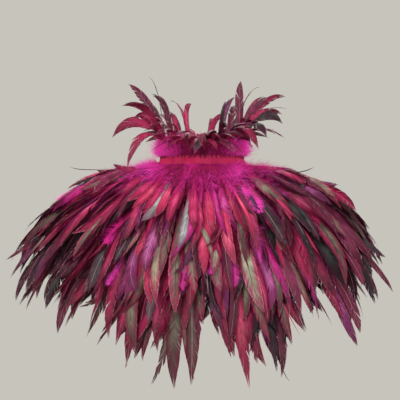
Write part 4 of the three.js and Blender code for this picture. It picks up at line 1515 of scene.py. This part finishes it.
def tape_lining(angle, height):
    return TAPE_IN + tape_flare(height)


tape_places = np.linspace(-1.4, TAPE_HEIGHT, 20)[::-1]
piece, _ = band("neck_tape_cloth", tape_look, on_stand, tape_places, neck_reach, tape_lift, tape_lining, 420)
dress(piece, "binding_tape", "neck_tape")

# Heading tapes: where each starts and ends down the yoke.
HEADING_COLUMNS = 120
HEADINGS = [("neck", 0.027, 0.092), ("shoulder", 0.3, 0.355), ("middle", 0.58, 0.635), ("hem", 0.865, 0.92)]
heading_lifts = flat_lift(SEAM_GAP + 1.1), flat_lift(SEAM_GAP)
for name, start, end in HEADINGS:
    places = np.linspace(start, end, 6)
    node = f"heading_{name}"
    piece, area = band(node, tape_look, on_yoke, places, wall_reach, *heading_lifts, HEADING_COLUMNS)
    dress(piece, f"{name}_feathers")
places = np.linspace(2, 12, 5)[::-1]
piece, _ = band("heading_collar", tape_look, on_stand, places, neck_reach, *heading_lifts, HEADING_COLUMNS)
dress(piece, "collar_plumes")


# Stitching, hook and eye.

STITCH_SHARE = 0.72
# A stitch's stops along its length: share, rise and radius.
STITCH_STOPS = [
    (0.0, -0.25, 0.14), (0.18, 0.12, 0.26), (0.5, 0.22, 0.28), (0.82, 0.12, 0.26), (1.0, -0.25, 0.14),
]

# The fastening's four sewing rings: across, up and down from the middle, its height, and the wire's radius.
RING_ACROSS, RING_SPREAD, RING_HEIGHT = 9.0, 2.6, 8.0
RING_RADIUS, WIRE_RADIUS = 2.3, 0.7
RING_THREADS = 5
RING_ARCH = 4.3


def stitch_piece(name, rows):
    """Short threads from starts to ends, arched along out. rows are (starts, ends, out, arch)."""
    start, end, out = (np.concatenate([row[i] for row in rows]) for i in range(3))
    arch = np.concatenate([np.full((len(row[0]), 1), row[3]) for row in rows])
    count = len(start)
    side = np.cross(unit(end - start), out)
    rings = []
    for share, rise, radius in STITCH_STOPS:
        middle = start + (end - start) * share + out * (rise * arch)
        across, up = side * radius, out * radius
        rings.append(np.stack([middle + across, middle + up, middle - across, middle - up], 1))
    verts = np.stack(rings, 1).reshape(count, -1, 3)
    tris = []
    for i in range(0, 4 * (len(rings) - 1), 4):
        j = i + 4
        for a in range(4):
            b = (a + 1) % 4
            tris += [(i + a, j + b, j + a), (i + a, i + b, j + b)]
    last = 4 * (len(rings) - 1)
    tris += [(0, 2, 1), (0, 3, 2), (last, last + 1, last + 2), (last, last + 2, last + 3)]
    tris = (np.arange(count)[:, None, None] * verts.shape[1] + np.array(tris)[None]).reshape(-1, 3)
    shape = verts.shape[:2]
    along = np.broadcast_to(np.repeat([stop[0] for stop in STITCH_STOPS], 4), shape)
    turn = np.broadcast_to(np.tile([-0.75, -0.25, 0.25, 0.75], len(STITCH_STOPS)), shape)
    index = over(np.arange(count), shape)
    uv = cell_uv(count, along, turn, index).reshape(-1, 2)[tris]
    values = {"along": along, "own": index / count}
    return make_mesh(name, verts.reshape(-1, 3), tris, values, uv, thread_look)


def stitch_row(on, reach, place, lift, count, slant=0.0, side=1.0):
    """Starts, ends, outward ways and arch of a row of stitches, on one side of a wall."""
    pitch = 2 * reach / count
    angle = -reach + (np.arange(count) + 0.5) * pitch
    half = pitch * STITCH_SHARE / 2
    start = on(angle - half, place, lift(angle - half, place))
    end = on(angle + half, place + slant, lift(angle + half, place))
    out = unit(on(angle, place, lift(angle, place) + side) - (start + end) / 2)
    return start, end, out, 1.0


def ring_stitches():
    """Threads over the wire of the fastening's four sewing rings."""
    middle = on_stand(math.pi, RING_HEIGHT, TAPE_IN + TAPE_WALL + SEAM_GAP + WIRE_RADIUS)
    lean = math.atan2(STAND["front"][0] - STAND["front"][1], TAPE_HEIGHT)
    out = np.array([0, math.cos(lean), math.sin(lean)])
    rise = np.array([0, -math.sin(lean), math.cos(lean)])
    starts, ends = [], []
    for x in (-RING_ACROSS, RING_ACROSS):
        for z in (-RING_SPREAD, RING_SPREAD):
            for i in range(RING_THREADS):
                turn = math.tau * (i + 0.35) / RING_THREADS
                way = np.array([math.cos(turn), 0, 0]) + rise * math.sin(turn)
                centre = middle + (x, 0, 0) + rise * z
                starts.append(centre + way * (RING_RADIUS - 2 * WIRE_RADIUS))
                ends.append(centre + way * (RING_RADIUS + 2 * WIRE_RADIUS))
    return np.array(starts), np.array(ends), np.tile(out, (len(starts), 1)), RING_ARCH


# Where the stitches run: heights on the tape, the hem's share of the yoke, and the headings' shares.
STITCH_END_GAP = 0.01
TAPE_STITCHES = 108
TAPE_SEAMS = [(1.6, 0.25), (12.6, -0.25)]
HEM_SEAM, HEM_STITCHES = 0.955, 250
HEADING_SEAMS = [(0.06, 120), (0.328, 170), (0.608, 220), (0.893, 250)]
HEADING_SEAM_SPREAD = 0.012

on_tape = flat_lift(TAPE_IN + 0.9)
on_heading = flat_lift(SEAM_GAP + 1.15)
neck_turn = NECK_REACH - STITCH_END_GAP
rows = [stitch_row(on_stand, neck_turn, at, on_tape, TAPE_STITCHES, slant) for at, slant in TAPE_SEAMS]
dress(stitch_piece("tape_stitching", [*rows, ring_stitches()]), "binding_tape")

hem_turn = wall_reach(HEM_SEAM) - STITCH_END_GAP
rows = [
    stitch_row(on_yoke, hem_turn, HEM_SEAM, yoke_lift, HEM_STITCHES),
    stitch_row(on_yoke, hem_turn, HEM_SEAM, yoke_lining, HEM_STITCHES, side=-1.0),
]
dress(stitch_piece("hem_stitching", rows), "ground_cloth")

rows = []
for share, count in HEADING_SEAMS:
    turn = wall_reach(share) - STITCH_END_GAP
    rows.append(stitch_row(on_yoke, turn, share, on_heading, count))
    for place in (share - HEADING_SEAM_SPREAD, share + HEADING_SEAM_SPREAD):
        rows.append(stitch_row(on_yoke, turn, place, yoke_lining, count, side=-1.0))
dress(stitch_piece("heading_stitching", rows), "ground_cloth")

for name in ("hook", "eye"):
    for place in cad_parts[name].material_slots:
        place.material = metal_look


# Floor, light and camera.

FLOOR = (214, 208, 200)
FLOOR_SIZE = 9
FLOOR_AT = (0, 0, -1.45)
BACKGROUND = (199, 196, 188)
# Lights in metres: place, aim, size, power and colour.
LIGHTS = {
    "key": ((-0.9, -1.9, 1.9), (0, 0, -0.1), 0.9, 42, (1.0, 0.98, 0.96)),
    "front": ((-0.9, -2.4, 0.1), (0, 0, -0.05), 1.0, 12, (1, 1, 1)),
    "fill": ((1.6, -1.6, 0.9), (0, 0, -0.15), 1.2, 16, (0.95, 0.97, 1.0)),
    "back": ((0.2, 2.0, 1.6), (0, 0, -0.1), 1.2, 22, (1, 1, 1)),
}

stage_look = Nodes("floor", 0.9)
stage_look.colour(srgb(FLOOR))
bpy.ops.mesh.primitive_plane_add(size=FLOOR_SIZE, location=FLOOR_AT)
floor = bpy.context.object
floor.name = "floor"
floor.data.materials.append(stage_look.material)

world = bpy.data.worlds.new("studio")
bpy.context.scene.world = world
world.use_nodes = True
world.node_tree.nodes["Background"].inputs["Color"].default_value = srgb(BACKGROUND)
world.node_tree.nodes["Background"].inputs["Strength"].default_value = 1.0


def area_light(name, at, towards, size, power, colour):
    light = bpy.data.lights.new(name, "AREA")
    light.shape = "DISK"
    light.size = size
    light.energy = power
    light.color = colour
    lamp = bpy.data.objects.new(name, light)
    bpy.context.scene.collection.objects.link(lamp)
    start = np.array(at, float)
    lamp.location = start
    aim = np.array(towards, float) - start
    yaw = math.atan2(aim[1], aim[0])
    tilt = math.acos(-aim[2] / np.linalg.norm(aim))
    lamp.rotation_euler = (tilt, 0, yaw - math.pi / 2)


for name, settings in LIGHTS.items():
    area_light(name, *settings)

camera = bpy.data.cameras.new("camera")
camera.lens = CAMERA_LENS
camera.sensor_width = CAMERA_SENSOR
camera.clip_start = 0.05
camera.clip_end = 30.0
viewer = bpy.data.objects.new("camera", camera)
bpy.context.scene.collection.objects.link(viewer)
viewer.location = CAMERA_AT * MM
viewer.rotation_euler = (math.pi / 2, 0, 0)
bpy.context.scene.camera = viewer
bpy.context.scene.view_settings.view_transform = "Standard"
